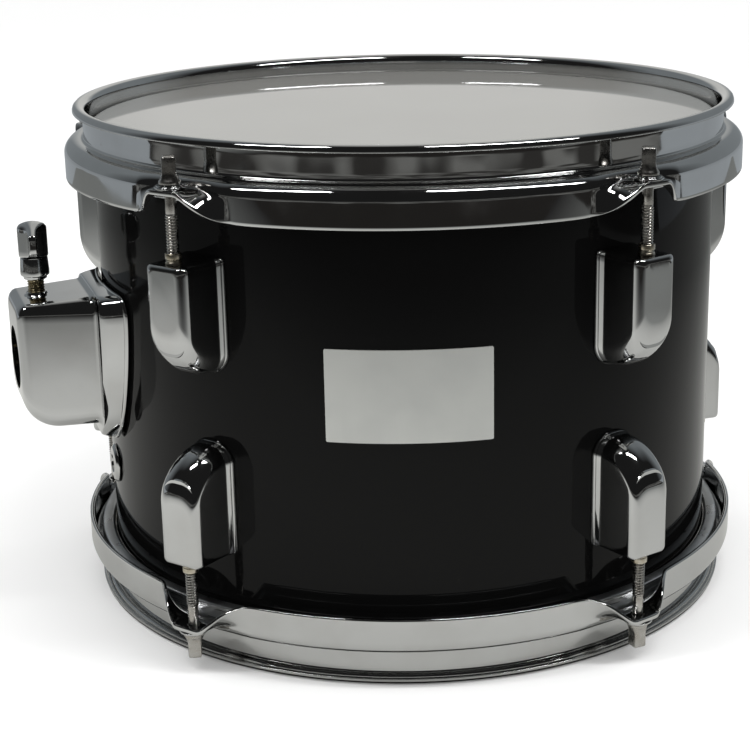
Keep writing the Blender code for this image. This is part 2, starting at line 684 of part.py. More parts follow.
def make_bracket(parts, cutters):
    """The arm bracket: a foot that hugs the wrap and a housing bored for the arm's tube."""
    bore_z = RIM_TOP - BORE_DEPTH
    frame = Matrix.Translation((0, 0, bore_z)) @ around(BRACKET_AZIMUTH)
    slope_start = BRACKET_SEAT_RADIUS + FOOT_SLOPE_END
    edge = FOOT_SLOPE_END / 2
    bore = cylinder_cutter(
        "cut_arm_bore", BORE_RADIUS, 4 * HOUSING_REACH,
        radial_axis(BRACKET_AZIMUTH, HOUSING_FACE_RADIUS, bore_z), cutters)
    # The foot is lofted as a ring, so its curved back never cuts a corner across the shell.
    hole = BORE_RADIUS + SHELL_HOLE_MARGIN
    count = len(foot_outline(0.0))
    spokes = foot_outline(0.0)
    angles = np.arctan2(spokes[:, 1], spokes[:, 0])
    eye = np.stack([hole * np.cos(angles), hole * np.sin(angles)], 1)
    rings = [on_shell(eye + (spokes - eye) * share, BRACKET_SEAT_RADIUS) for share in np.linspace(0, 1, 4)]
    rings += [
        on_shell(spokes, slope_start),
        at_radius(foot_outline(FOOT_SLOPE), FOOT_RADIUS - edge),
        at_radius(foot_outline(FOOT_SLOPE + edge), FOOT_RADIUS),
        at_radius(eye, FOOT_RADIUS),
    ]
    points = np.concatenate(rings)
    faces = []
    for ring in range(len(rings)):
        low = ring * count
        high = (ring + 1) % len(rings) * count
        for i in range(count):
            j = (i + 1) % count
            faces.append([low + i, low + j, high + j, high + i])
    mesh = bpy.data.meshes.new("bracket_foot")
    mesh.from_pydata(points.tolist(), [], faces)
    face_out(mesh)
    foot = add_object("bracket_foot", mesh, parts, chrome("bracket_foot"))
    foot.matrix_world = frame
    smooth(foot)
    shares = (0.0, 0.3, 0.6, 0.72, 0.82, 0.9, 0.94, 0.97, 0.99, 1.0)
    mesh = loft_mesh("bracket_housing", [housing_ring(share) for share in shares])
    housing = add_object("bracket_housing", mesh, parts, chrome("bracket_housing"))
    housing.matrix_world = frame
    boss_top = HOUSING_RISE + BOSS_HEIGHT
    boss_mid = (HOUSING_RISE - HOUSING_EDGE_ROUND + boss_top) / 2
    boss = cylinder_cutter(
        "join_boss", BOSS_RADIUS, boss_top - HOUSING_RISE + HOUSING_EDGE_ROUND,
        frame @ Matrix.Translation((0, -BOLT_RADIUS, boss_mid)), cutters)
    bolt_hole = cylinder_cutter(
        "cut_bolt_hole", BOLT_THREAD_RADIUS + BOLT_PLAY, 4 * HOUSING_RISE,
        frame @ Matrix.Translation((0, -BOLT_RADIUS, 2 * HOUSING_RISE)), cutters)
    pocket_top = shoe_top() + SHOE_LIFT
    pocket = cylinder_cutter(
        "cut_shoe_pocket", SHOE_RADIUS + SHOE_PLAY, 2 * SHOE_HEIGHT,
        frame @ Matrix.Translation((0, -BOLT_RADIUS, pocket_top - SHOE_HEIGHT)), cutters)
    cut(housing, boss, "UNION")
    cut(housing, bore)
    cut(housing, pocket)
    cut(housing, bolt_hole)
    smooth(housing)


def shoe_top():
    """Height of the clamp shoe's top over the bore's axis, with its face drawn up flush."""
    return BORE_RADIUS + SHOE_HEIGHT


def wing_ring(reach):
    """The bolt's grip at one reach from its axis: it narrows and droops towards each tip."""
    share = abs(reach) / WING_REACH
    half = WING_HALF_WIDTH + (WING_TIP_HALF - WING_HALF_WIDTH) * share ** 1.5
    top = WING_HEIGHT - WING_DROOP * share ** 2
    bottom = (WING_HEIGHT - WING_DROOP - WING_TIP_HEIGHT) * share ** 2
    corner = 0.6 * half
    outline = rounded_outline(half, top, bottom, (corner, 0.2 * half), (4, 2), (1, 1, 1))
    x, z = outline.T
    return np.stack([x, np.full_like(x, reach), z], 1)


def make_clamp(parts, cutters):
    """The wing bolt on the housing, and the shoe that it presses on the arm."""
    bore_z = RIM_TOP - BORE_DEPTH
    frame = Matrix.Translation((0, 0, bore_z)) @ around(BRACKET_AZIMUTH, BOLT_RADIUS)
    on_axis = Matrix.Translation(frame.translation)
    collar_low = HOUSING_RISE + BOSS_HEIGHT + BOLT_GAP
    hub_low = collar_low + BOLT_COLLAR_HEIGHT
    hub_top = hub_low + HUB_HEIGHT
    tip = shoe_top() + SEAT_GAP
    chamfer = BOLT_THREAD_RADIUS / 5
    stem = [
        (0, hub_top),
        (HUB_RADIUS - chamfer, hub_top),
        (HUB_RADIUS, hub_top - chamfer),
        (HUB_RADIUS, hub_low),
        (BOLT_COLLAR_RADIUS, hub_low),
        (BOLT_COLLAR_RADIUS, collar_low),
        (BOLT_THREAD_RADIUS, collar_low),
        (BOLT_THREAD_RADIUS, tip),
        (0, tip),
    ]
    bolt = add_object("clamp_bolt", turned_mesh("clamp_bolt", stem, SMALL_STEPS), parts, chrome("clamp_bolt"))
    bolt.matrix_world = on_axis
    shares = (-1.0, -0.93, -0.66, -0.33, 0.0, 0.33, 0.66, 0.93, 1.0)
    reaches = [share * WING_REACH for share in shares]
    rings = [wing_ring(reach) for reach in reaches]
    for end in (0, -1):
        middle = rings[end].mean(axis=0)
        rings[end] = middle + 0.72 * (rings[end] - middle) * (1, 0, 1)
    wings = make_cutter(add_object("join_wings", loft_mesh("join_wings", rings), cutters))
    overlap = HUB_HEIGHT / 8
    turn = Matrix.Rotation(math.radians(WING_AZIMUTH), 4, "Z")
    wings.matrix_world = on_axis @ Matrix.Translation((0, 0, hub_top - overlap)) @ turn
    cut(bolt, wings, "UNION")
    smooth(bolt)
    shoe_profile = [
        (0, shoe_top()),
        (SHOE_RADIUS, shoe_top()),
        (SHOE_RADIUS, BORE_RADIUS - SHOE_HEIGHT / 2),
        (0, BORE_RADIUS - SHOE_HEIGHT / 2),
    ]
    brass = new_material("clamp_shoe", (0.72, 0.56, 0.28), 0.35, 1.0)
    shoe = add_object("clamp_shoe", turned_mesh("clamp_shoe", shoe_profile, SMALL_STEPS), parts, brass)
    shoe.matrix_world = on_axis
    hollow = cylinder_cutter(
        "cut_shoe_face", BORE_RADIUS, 4 * SHOE_RADIUS,
        radial_axis(BRACKET_AZIMUTH, BOLT_RADIUS, bore_z), cutters)
    cut(shoe, hollow)
    smooth(shoe)


def make_vent(parts):
    """The vent grommet: a domed ring outside, a tube through the shell, and its curled end inside."""
    outside = WRAP_RADIUS + SEAT_GAP
    inside = math.sqrt(SHELL_INNER_RADIUS ** 2 - VENT_FLANGE_RADIUS ** 2) - SEAT_GAP
    curl_radius = (VENT_FLANGE_RADIUS + VENT_TUBE_RADIUS) / 2
    profile = [
        (VENT_BORE_RADIUS, outside + VENT_DOME / 2),
        ((VENT_BORE_RADIUS + VENT_TUBE_RADIUS) / 2, outside + VENT_DOME),
        ((VENT_TUBE_RADIUS + VENT_FLANGE_RADIUS) / 2, outside + 0.8 * VENT_DOME),
        (VENT_FLANGE_RADIUS, outside),
        (VENT_TUBE_RADIUS, outside),
        (VENT_TUBE_RADIUS, inside),
        (curl_radius, inside),
        (curl_radius, inside - VENT_CURL),
        (VENT_BORE_RADIUS, inside - VENT_CURL),
    ]
    mesh = turned_mesh("vent_grommet", profile, SMALL_STEPS)
    grommet = add_object("vent_grommet", mesh, parts, chrome("vent_grommet"))
    grommet.matrix_world = radial_axis(VENT_AZIMUTH, 0.0, RIM_TOP - VENT_DEPTH)
    smooth(grommet)


def make_badge(parts):
    """The badge: a bare metal plate that follows the wrap."""
    radius = WRAP_RADIUS + SEAT_GAP
    half = BADGE_WIDTH / 2 / radius
    angles = np.linspace(-half, half, BADGE_STEPS + 1) + math.radians(BADGE_AZIMUTH)
    rows = []
    for z in (BADGE_HEIGHT / 2, -BADGE_HEIGHT / 2):
        level = np.full_like(angles, RIM_TOP - BADGE_DEPTH + z)
        rows.append(np.stack([radius * np.sin(angles), -radius * np.cos(angles), level], 1))
    count = BADGE_STEPS + 1
    faces = [[i, i + 1, count + i + 1, count + i] for i in range(BADGE_STEPS)]
    mesh = bpy.data.meshes.new("badge_plate")
    mesh.from_pydata(np.concatenate(rows).tolist(), [], faces)
    silver = new_material("badge_plate", (0.7, 0.71, 0.7), 0.3, 0.6)
    badge = add_object("badge_plate", mesh, parts, silver)
    sheet = badge.modifiers.new("Sheet", "SOLIDIFY")
    sheet.thickness = BADGE_THICKNESS
    sheet.offset = -1.0
    smooth(badge)


def main():
    """Build the drum."""
    clear_scene()
    parts = new_collection("tom_tom")
    cutters = new_collection("cutters")
    make_shell(parts, cutters)
    make_hoop("batter_hoop", False, parts, cutters)
    make_hoop("resonant_hoop", True, parts, cutters)
    make_head("batter", False, parts)
    make_head("resonant", True, parts)
    make_fastenings(parts, cutters)
    make_bracket(parts, cutters)
    make_clamp(parts, cutters)
    make_vent(parts)
    make_badge(parts)


main()
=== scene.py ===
"""Dressed scene of a 12 in rack tom-tom, in metres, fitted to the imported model.

An azimuth is counted from the front, -Y, towards +X. Depths are counted from the batter rim, and
what repeats at the resonant end is the same shape turned over about Y.
"""
import math

import bmesh
import bpy
import numpy as np
from mathutils import Matrix


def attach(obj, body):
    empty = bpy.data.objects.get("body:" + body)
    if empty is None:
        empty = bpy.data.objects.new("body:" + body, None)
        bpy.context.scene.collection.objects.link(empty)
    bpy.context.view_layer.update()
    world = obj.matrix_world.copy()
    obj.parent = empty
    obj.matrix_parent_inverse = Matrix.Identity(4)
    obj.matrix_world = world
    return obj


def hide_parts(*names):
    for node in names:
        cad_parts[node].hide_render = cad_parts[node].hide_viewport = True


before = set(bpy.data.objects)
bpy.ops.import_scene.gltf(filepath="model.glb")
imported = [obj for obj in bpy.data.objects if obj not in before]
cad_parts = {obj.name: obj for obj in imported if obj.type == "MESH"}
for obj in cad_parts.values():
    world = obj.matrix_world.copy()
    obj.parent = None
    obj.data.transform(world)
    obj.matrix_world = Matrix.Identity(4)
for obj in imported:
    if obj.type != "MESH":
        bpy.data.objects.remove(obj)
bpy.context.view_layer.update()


# --- Wrap ---
# A sheet of glossy black plastic glued round the ply shell. Its ends overlap in a low seam behind
# the drum, and it is holed for the arm's tube and for the vent.

WRAP_RADIUS = 0.1515
WRAP_SHEET = 0.0006
WRAP_LEVELS = (-0.0056, -0.2164)
WRAP_ROW = 0.0042
WRAP_IOR = 1.22
WRAP_BLACK = (0.003, 0.003, 0.003)
DUST_GREY = (0.1, 0.1, 0.095)
SEAM_AZIMUTHS = (142.0, 146.5)
SEAM_STEP = 0.0004
SEAM_SLOPE = 0.06
SIDE_AZIMUTH = -72.0
BORE_Z = -0.105
BORE_RADIUS = 0.015
VENT_Z = -0.1642
# Each hole's height and radius, and its window's half width in degrees and half height.
WRAP_HOLES = ((BORE_Z, BORE_RADIUS + 0.002, 8.0, 0.02), (VENT_Z, 0.0058, 4.0, 0.01))
WINDOW_SLACK = 1e-6


def new_mesh(name, points, faces):
    """A mesh from an (n, 3) array and lists of corners: doubles merged, what has no face dropped,
    normals outwards."""
    mesh = bpy.data.meshes.new(name)
    mesh.from_pydata(np.asarray(points).tolist(), [], [list(map(int, face)) for face in faces])
    edit = bmesh.new()
    edit.from_mesh(mesh)
    bmesh.ops.remove_doubles(edit, verts=edit.verts, dist=0.000001)
    for edge in [edge for edge in edit.edges if not edge.link_faces]:
        edit.edges.remove(edge)
    for corner in [corner for corner in edit.verts if not corner.link_faces]:
        edit.verts.remove(corner)
    bmesh.ops.recalc_face_normals(edit, faces=edit.faces)
    edit.to_mesh(mesh)
    edit.free()
    return mesh


def net(rows, columns, close_rows=False):
    """Quads between neighbours of a rows by columns grid of points. Each row is a closed ring,
    and the last row joins the first where asked."""
    row = np.arange(rows if close_rows else rows - 1)[:, None]
    column = np.arange(columns)[None]
    up = (row + 1) % rows
    on = (column + 1) % columns
    corners = (row * columns + column, row * columns + on, up * columns + on, up * columns + column)
    return np.stack(np.broadcast_arrays(*corners), -1).reshape(-1, 4)


def smooth(mesh, angle=35.0):
    """Round faces are shaded smooth, edges sharper than the angle stay crisp."""
    mesh.shade_smooth()
    mesh.set_sharp_from_angle(angle=math.radians(angle))
    return mesh


def linked(name, content):
    """A new object in the scene."""
    thing = bpy.data.objects.new(name, content)
    bpy.context.scene.collection.objects.link(thing)
    return thing


def baked(mesh, kind, **settings):
    """The mesh with a modifier of one kind applied."""
    shape = linked("shape", mesh)
    modifier = shape.modifiers.new(kind, kind)
    for key, value in settings.items():
        setattr(modifier, key, value)
    bpy.context.view_layer.update()
    finished = shape.evaluated_get(bpy.context.evaluated_depsgraph_get())
    result = bpy.data.meshes.new_from_object(finished)
    bpy.data.objects.remove(shape, do_unlink=True)
    return result


def fit(name, mesh, body, finish, node):
    """Hang a finished mesh on its body, in place of the CAD node named."""
    mesh.name = name
    mesh.materials.clear()
    mesh.materials.append(finish)
    piece = linked(name, mesh)
    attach(piece, body)
    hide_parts(node)


def shader(name, metallic=0.0):
    """A new material: returns it, its tree and its Principled node."""
    made = bpy.data.materials.new(name)
    made.use_nodes = True
    surface = made.node_tree.nodes["Principled BSDF"]
    surface.inputs["Metallic"].default_value = metallic
    return made, made.node_tree, surface


def grain(tree, scale, detail=3.0, stretch=(1.0, 1.0, 1.0)):
    """Noise on object coordinates, scale in features per metre. Returns its factor socket."""
    place = tree.nodes.new("ShaderNodeTexCoord")
    mapping = tree.nodes.new("ShaderNodeMapping")
    mapping.inputs["Scale"].default_value = stretch
    noise = tree.nodes.new("ShaderNodeTexNoise")
    noise.inputs["Scale"].default_value = scale
    noise.inputs["Detail"].default_value = detail
    tree.links.new(place.outputs["Object"], mapping.inputs["Vector"])
    tree.links.new(mapping.outputs["Vector"], noise.inputs["Vector"])
    return noise.outputs["Fac"]


def spread(tree, factor, low, high, start=0.35, end=0.65):
    """Map a factor's range start to end onto low to high."""
    remap = tree.nodes.new("ShaderNodeMapRange")
    tree.links.new(factor, remap.inputs["Value"])
    spans = {"From Min": start, "From Max": end, "To Min": low, "To Max": high}
    for socket, value in spans.items():
        remap.inputs[socket].default_value = value
    return remap.outputs["Result"]


def blend_colours(tree, factor, first, second):
    """Mix two colours by a factor. Each is a tuple of three numbers, or a socket."""
    blend = tree.nodes.new("ShaderNodeMix")
    blend.data_type = "RGBA"
    tree.links.new(factor, blend.inputs["Factor"])
    for socket, colour in (("A", first), ("B", second)):
        if isinstance(colour, tuple):
            blend.inputs[socket].default_value = (*colour, 1.0)
        else:
            tree.links.new(colour, blend.inputs[socket])
    return blend.outputs["Result"]


def tint(tree, surface, factor, first, second, start=0.35, end=0.65):
    """Turn the surface from its first colour to its second over a factor's range."""
    share = spread(tree, factor, 0.0, 1.0, start, end)
    surface.inputs["Base Color"].default_value = (*first, 1.0)
    tree.links.new(blend_colours(tree, share, first, second), surface.inputs["Base Color"])


def rub(tree, surface, factor, low, high, start=0.35, end=0.65):
    """Take the surface's roughness from low to high over a factor's range."""
    surface.inputs["Roughness"].default_value = (low + high) / 2
    tree.links.new(spread(tree, factor, low, high, start, end), surface.inputs["Roughness"])


def relief(tree, surface, height, distance, strength=1.0, under=None):
    """Bump the surface by a height socket, on top of an earlier bump's normal."""
    bump = tree.nodes.new("ShaderNodeBump")
    bump.inputs["Strength"].default_value = strength
    bump.inputs["Distance"].default_value = distance
    tree.links.new(height, bump.inputs["Height"])
    if under is not None:
        tree.links.new(under, bump.inputs["Normal"])
    tree.links.new(bump.outputs["Normal"], surface.inputs["Normal"])
    return bump.outputs["Normal"]


def round_about(azimuths, radii, levels):
    """Points at azimuths in radians: x = r sin a, y = -r cos a."""
    azimuths, radii, levels = np.broadcast_arrays(azimuths, radii, levels)
    return np.stack([radii * np.sin(azimuths), -radii * np.cos(azimuths), levels], -1)


def circle(radius, angles, middle=(0.0, 0.0)):
    """Points in a plane at angles round a middle: (m + r cos a, n + r sin a)."""
    return np.stack([radius * np.cos(angles), radius * np.sin(angles)], -1) + middle


def holed_sheet(columns, levels, radius_at, holes):
    """A tube as a grid of azimuths by levels. Each hole (azimuth, z, radius, half window in
    azimuth, half window in z) takes a window of the grid, refilled by rings that run from the
    window's edge to the hole's circle on the unrolled sheet."""
    count = len(columns)
    spot = np.stack(np.meshgrid(columns, levels), -1)
    points = [spot.reshape(-1, 2)]
    keep = np.ones((len(levels) - 1, count), bool)
    faces = []
    total = count * len(levels)
    for azimuth, z, radius, half_azimuth, half_z in holes:
        window = np.array([-1, 1])
        left, right = np.searchsorted(columns, azimuth + window * half_azimuth - WINDOW_SLACK)
        low, high = np.searchsorted(levels, z + window * half_z - WINDOW_SLACK)
        keep[low:high, left:right] = False
        across = np.arange(left, right)
        along = np.arange(low, high)
        loop = np.concatenate([
            low * count + across, along * count + right,
            high * count + across[::-1] + 1, (along[::-1] + 1) * count + left])
        edge = points[0][loop] - (azimuth, z)
        edge[:, 0] *= WRAP_RADIUS
        rim = circle(radius, np.arctan2(edge[:, 1], edge[:, 0]))
        inner = loop
        for share in (0.4, 0.75, 1.0):
            ring = edge + (rim - edge) * share
            ring[:, 0] /= WRAP_RADIUS
            points.append(ring + (azimuth, z))
            outer, inner = inner, total + np.arange(len(loop))
            total += len(loop)
            faces.append(np.stack([outer, np.roll(outer, -1), np.roll(inner, -1), inner], 1))
    grid = net(len(levels), count).reshape(len(levels) - 1, count, 4)
    azimuths, heights = np.concatenate(points).T
    points = round_about(azimuths, radius_at(azimuths), heights)
    return points, np.concatenate([grid[keep], *faces])


def black_gloss():
    """Black acrylic: clear hard gloss, with faint mottle, hairline scratches and specks of dust."""
    made, tree, surface = shader("wrap_gloss")
    surface.inputs["IOR"].default_value = WRAP_IOR
    tint(tree, surface, grain(tree, 900.0, 1.0), WRAP_BLACK, DUST_GREY, 0.845, 0.87)
    rub(tree, surface, grain(tree, 22.0, 5.0), 0.03, 0.08)
    wave = relief(tree, surface, grain(tree, 55.0, 1.0), 0.00002, 0.35)
    scratches = grain(tree, 1500.0, 2.0, (1.0, 1.0, 0.05))
    relief(tree, surface, scratches, 0.000004, 0.25, wave)
    return made


seam_edges = np.array(SEAM_AZIMUTHS) + (-SEAM_SLOPE, SEAM_SLOPE)
degrees = np.union1d(np.arange(-180.0, 180.0), seam_edges)
seam_start, seam_end = np.radians(SEAM_AZIMUTHS)
window_edges = [z + way * half for z, _, _, half in WRAP_HOLES for way in (-1, 1)]
stops = sorted((*WRAP_LEVELS, *window_edges))
rows = np.unique(np.concatenate([
    np.linspace(low, high, max(2, round((high - low) / WRAP_ROW) + 1))
    for low, high in zip(stops, stops[1:])]).round(7))
side = math.radians(SIDE_AZIMUTH)
holes = [(side, z, radius, math.radians(half), rise) for z, radius, half, rise in WRAP_HOLES]
points, faces = holed_sheet(
    np.radians(degrees), rows,
    lambda a: WRAP_RADIUS + SEAM_STEP * ((a >= seam_start) & (a <= seam_end)), holes)
wrap = baked(new_mesh("wrap", points, faces), "SOLIDIFY", thickness=WRAP_SHEET, offset=-1.0)
fit("wrap_sheet", smooth(wrap, 25.0), "drum", black_gloss(), "wrap")


# --- Ply shell ---
# A tube of thin maple plies glued in a mould, clear lacquered inside and bevelled at both ends. It
# keeps its CAD solid, which shows through the arm's bore and the vent.

MAPLE_PALE = (0.62, 0.42, 0.23)
MAPLE_DARK = (0.42, 0.25, 0.12)


def maple_ply():
    """Maple: growth lines along the drum's axis over the face, and fine pores."""
    made, tree, surface = shader("maple_ply")
    figure = grain(tree, 60.0, 6.0, (1.0, 1.0, 0.08))
    tint(tree, surface, figure, MAPLE_PALE, MAPLE_DARK, 0.3, 0.7)
    pores = grain(tree, 900.0, 3.0, (1.0, 1.0, 0.06))
    rub(tree, surface, pores, 0.34, 0.55)
    relief(tree, surface, pores, 0.00005, 0.5)
    return made


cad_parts["shell"].material_slots[0].material = maple_ply()


# --- Heads ---
# A head at each end: one sheet of white polyester, flat over the shell, pressed down into a collar
# outside it, and gripped at its edge in a rolled aluminium channel.

RIM_TOP = 0.009
RIM_BOTTOM = -0.231
PLAYING_DEPTH = 0.009
FILM_SHEET = 0.0003
FILM_IOR = 1.62
FILM_WHITE = (0.253, 0.253, 0.24)
FILM_SHADE = (0.24, 0.238, 0.226)
COLLAR_RADIUS = 0.1526
COLLAR_ROUND = 0.003
COLLAR_END = 0.0262
FLAT_RADIUS = 0.14
CHANNEL_RADII = (0.1532, 0.1592)
CHANNEL_DEPTHS = (0.0178, 0.0191, 0.0279)
CHANNEL_LIP = 0.0007
CHANNEL_ROUND = 0.0012
CHANNEL_GREY = (0.66, 0.67, 0.68)
HEAD_STEPS = 240
ENDS = (("batter", False), ("resonant", True))


def bend(middle, radius, start, end, count):
    """An arc in a profile of (radius, depth), angles in degrees from outwards towards deeper."""
    return circle(radius, np.radians(np.linspace(start, end, count)), middle)


def full_turn(steps):
    """Angles in equal steps once round."""
    return np.linspace(0, 2 * math.pi, steps, endpoint=False)


def turned(profile, steps):
    """A closed profile of (radius, depth) revolved about Z: p(a, i) = (r sin a, -r cos a, -d).
    Points on the axis merge into one."""
    radii, depths = np.asarray(profile, float).T
    points = round_about(full_turn(steps)[:, None], radii, -depths).reshape(-1, 3)
    return points, net(steps, len(radii), close_rows=True)


def rounded(corners, radius, count=4):
    """A closed profile with each corner rounded by a quadratic curve that starts radius away."""
    corners = np.asarray(corners, float)
    parts = []
    share = np.linspace(0, 1, count)[:, None]
    for before, corner, after in zip(np.roll(corners, 1, 0), corners, np.roll(corners, -1, 0)):
        start = corner + (before - corner) * min(0.45, radius / np.linalg.norm(before - corner))
        end = corner + (after - corner) * min(0.45, radius / np.linalg.norm(after - corner))
        parts.append((1 - share) ** 2 * start + 2 * share * (1 - share) * corner + share ** 2 * end)
    return np.concatenate(parts)


def copied(mesh, azimuth, resonant):
    """A mesh drawn at azimuth 0 of the batter rim, turned to an azimuth and put at an end."""
    result = mesh.copy()
    if resonant:
        place = Matrix.Translation((0, 0, RIM_BOTTOM)) @ Matrix.Rotation(math.pi, 4, "Y")
        result.transform(place @ Matrix.Rotation(-azimuth, 4, "Z"))
    else:
        result.transform(Matrix.Translation((0, 0, RIM_TOP)) @ Matrix.Rotation(azimuth, 4, "Z"))
    return result


def drum_film():
    """White polyester: milky and glossy, with the faintest mottle and hairline scuffs."""
    made, tree, surface = shader("white_film")
    surface.inputs["IOR"].default_value = FILM_IOR
    tint(tree, surface, grain(tree, 14.0, 3.0), FILM_WHITE, FILM_SHADE, 0.3, 0.7)
    rub(tree, surface, grain(tree, 60.0, 5.0), 0.03, 0.07, 0.4, 0.8)
    relief(tree, surface, grain(tree, 1500.0, 3.0, (1.0, 0.2, 1.0)), 0.000003, 0.2)
    return made


def rolled_aluminium():
    """Plain rolled aluminium: fine lines round the ring's faces and a soft grey reflection."""
    made, tree, surface = shader("channel_aluminium", 1.0)
    surface.inputs["Base Color"].default_value = (*CHANNEL_GREY, 1.0)
    lines = grain(tree, 1800.0, 2.0, (0.04, 0.04, 1.0))
    rub(tree, surface, lines, 0.24, 0.42)
    relief(tree, surface, lines, 0.00001, 0.4)
    return made


film_finish = drum_film()
channel_finish = rolled_aluminium()
bend_radius = COLLAR_RADIUS - COLLAR_ROUND
upper = np.concatenate([
    [(0, PLAYING_DEPTH)],
    [(radius, PLAYING_DEPTH) for radius in np.linspace(0.02, bend_radius - 0.0006, 9)],
    bend((bend_radius, PLAYING_DEPTH + COLLAR_ROUND), COLLAR_ROUND, -90, 0, 10),
    [(COLLAR_RADIUS, COLLAR_END)]])
under = upper[::-1].copy()
under[:, 1] += FILM_SHEET * (under[:, 1] < COLLAR_END)
under[:, 0] -= FILM_SHEET * (under[:, 0] > FLAT_RADIUS)
film = smooth(new_mesh("film", *turned(np.concatenate([upper, under]), HEAD_STEPS)))
(inside, outside), (lip, brow, foot) = CHANNEL_RADII, CHANNEL_DEPTHS
channel_section = rounded([
    (inside + CHANNEL_LIP, lip), (outside, brow), (outside, foot), (inside, foot), (inside, lip)],
    CHANNEL_ROUND, 5)
channel = smooth(new_mesh("channel", *turned(channel_section, HEAD_STEPS)))
for end, resonant in ENDS:
    fit(f"{end}_film", copied(film, 0.0, resonant), f"{end}_rim",
        film_finish, f"{end}_head")
    fit(f"{end}_film_channel", copied(channel, 0.0, resonant), f"{end}_rim",
        channel_finish, f"{end}_flesh_hoop")


# --- Triple-flanged hoops ---
# A steel band, rolled to a turned-over lip, a wall, a round shoulder and a skirt, then pressed out
# into five flat drilled ears and plated with bright nickel and chrome.

HOOP_SHEET = 0.002
HOOP_EDGE_BULGE = 0.0003
EAR_AZIMUTHS = np.radians([-108.0, -36.0, 36.0, 108.0, 180.0])
ROD_RADIUS = 0.1699
EAR_DEPTH = 0.020
# Where an ear's sweep starts and ends along the hoop, and its power, for radius and for depth.
EAR_SWEEPS = ((0.0042, 0.0271, 1.6), (0.0062, 0.0495, 7.8))
EAR_STATIONS = (0.004, 0.03)
EAR_HOLE_RADIUS = 0.0033
CHROME = (0.6, 0.605, 0.605)
CHROME_HAZED = (0.55, 0.55, 0.545)


def hoop_side(ear):
    """The outer side of the sheet, in mm of (radius, depth), between the ears or at an ear."""
    to_shoulder = [
        [(158.0, 3.0), (158.0, 2.75)],
        bend((157.5, 2.5), 0.5, 0, -90, 4),
        bend((157.1, 3.6), 1.6, -90, -180, 8),
        [(155.5, depth) for depth in (6.0, 9.0, 12.0)],
        bend((157.0, 14.4), 1.5, 180, 90, 8),
    ]
    turn = np.radians(np.linspace(6, 90, 14))
    if ear:
        shoulder = np.stack([157.0 + 5.4 * np.sin(turn), 19.7 - 3.8 * np.cos(turn)], 1)
        flap = [(162.55, 19.93), *[(radius, 20.0) for radius in np.linspace(162.9, 175.9, 9)]]
    else:
        shoulder = np.stack([157.0 + 7.9 * np.sin(turn), 22.3 - 6.4 * np.cos(turn)], 1)
        flap = [(164.9, 22.8), *[(164.9, depth) for depth in np.linspace(23.6, 33.8, 9)]]
    return np.concatenate([*to_shoulder, shoulder, flap]) / 1000


def hoop_mesh():
    """side = between + e (ear - between), where e = (1 - w)^a (1 + a w) over a span w from an
    ear's flat out along the hoop, one span for the radius and one for the depth. The inner side
    is the outer one moved by the sheet's thickness along its normal, and both edges close in half
    ellipses. Stations run round the drum."""
    flat, sweep = np.array(EAR_STATIONS) / ROD_RADIUS
    half = np.concatenate([
        np.linspace(0, flat, 5), np.linspace(flat, sweep, 37)[1:],
        np.linspace(sweep, math.pi / len(EAR_AZIMUTHS), 20)[1:]])
    shares = []
    for start, end, power in EAR_SWEEPS:
        way = np.clip((half * ROD_RADIUS - start) / (end - start), 0, 1)
        share = (1 - way) ** power * (1 + power * way)
        shares.append(np.tile(np.concatenate([share[:0:-1], share[:-1]]), len(EAR_AZIMUTHS)))
    azimuths = (EAR_AZIMUTHS[:, None] + np.concatenate([-half[:0:-1], half[:-1]])).ravel()
    ears = np.stack(shares, -1)[:, None, :]
    between, at_ear = hoop_side(False), hoop_side(True)
    outer = between + ears * (at_ear - between)
    along = np.gradient(outer, axis=1)
    along /= np.linalg.norm(along, axis=2, keepdims=True)
    normal = np.stack([-along[..., 1], along[..., 0]], -1)
    inner = outer + normal * HOOP_SHEET
    angles = np.radians([65, 40, 0, -40, -65])[:, None]
    caps = []
    for end, outwards in ((-1, 1), (0, -1)):
        middle = (outer[:, end] + inner[:, end])[:, None] / 2
        caps.append(
            middle + outwards * along[:, end][:, None] * HOOP_EDGE_BULGE * np.cos(angles)
            - normal[:, end][:, None] * HOOP_SHEET / 2 * np.sin(angles))
    section = np.concatenate([outer, caps[0], inner[:, ::-1], caps[1][:, ::-1]], axis=1)
    points = round_about(azimuths[:, None], section[..., 0], -section[..., 1]).reshape(-1, 3)
    return new_mesh("hoop", points, net(len(azimuths), section.shape[1], close_rows=True))


def capped(rows, columns, first=0):
    """A net of closed rings, counted from a first point, with its two end rings filled."""
    starts = (first, first + (rows - 1) * columns)
    ends = [list(range(start, start + columns)) for start in starts]
    return (net(rows, columns) + first).tolist() + ends


def drill(radius, depth, length, azimuths):
    """Cutters for Boolean drilling: upright cylinders on the rods' circle, one mesh."""
    steps = 48
    x, y = circle(radius, full_turn(steps)).T
    points, faces = [], []
    for number, azimuth in enumerate(azimuths):
        middle = round_about(azimuth, ROD_RADIUS, -depth)
        for z in (-length / 2, length / 2):
            points.append(middle + np.stack([x, y, np.full(steps, z)], 1))
        faces += capped(2, steps, 2 * steps * number)
    return new_mesh("drill", np.concatenate(points), faces)


def carved(mesh, cutter_mesh, operation="DIFFERENCE"):
    """An exact Boolean of two meshes, baked."""
    cutter = linked("cutter", cutter_mesh)
    result = baked(mesh, "BOOLEAN", operation=operation, solver="EXACT", object=cutter)
    bpy.data.objects.remove(cutter, do_unlink=True)
    return result


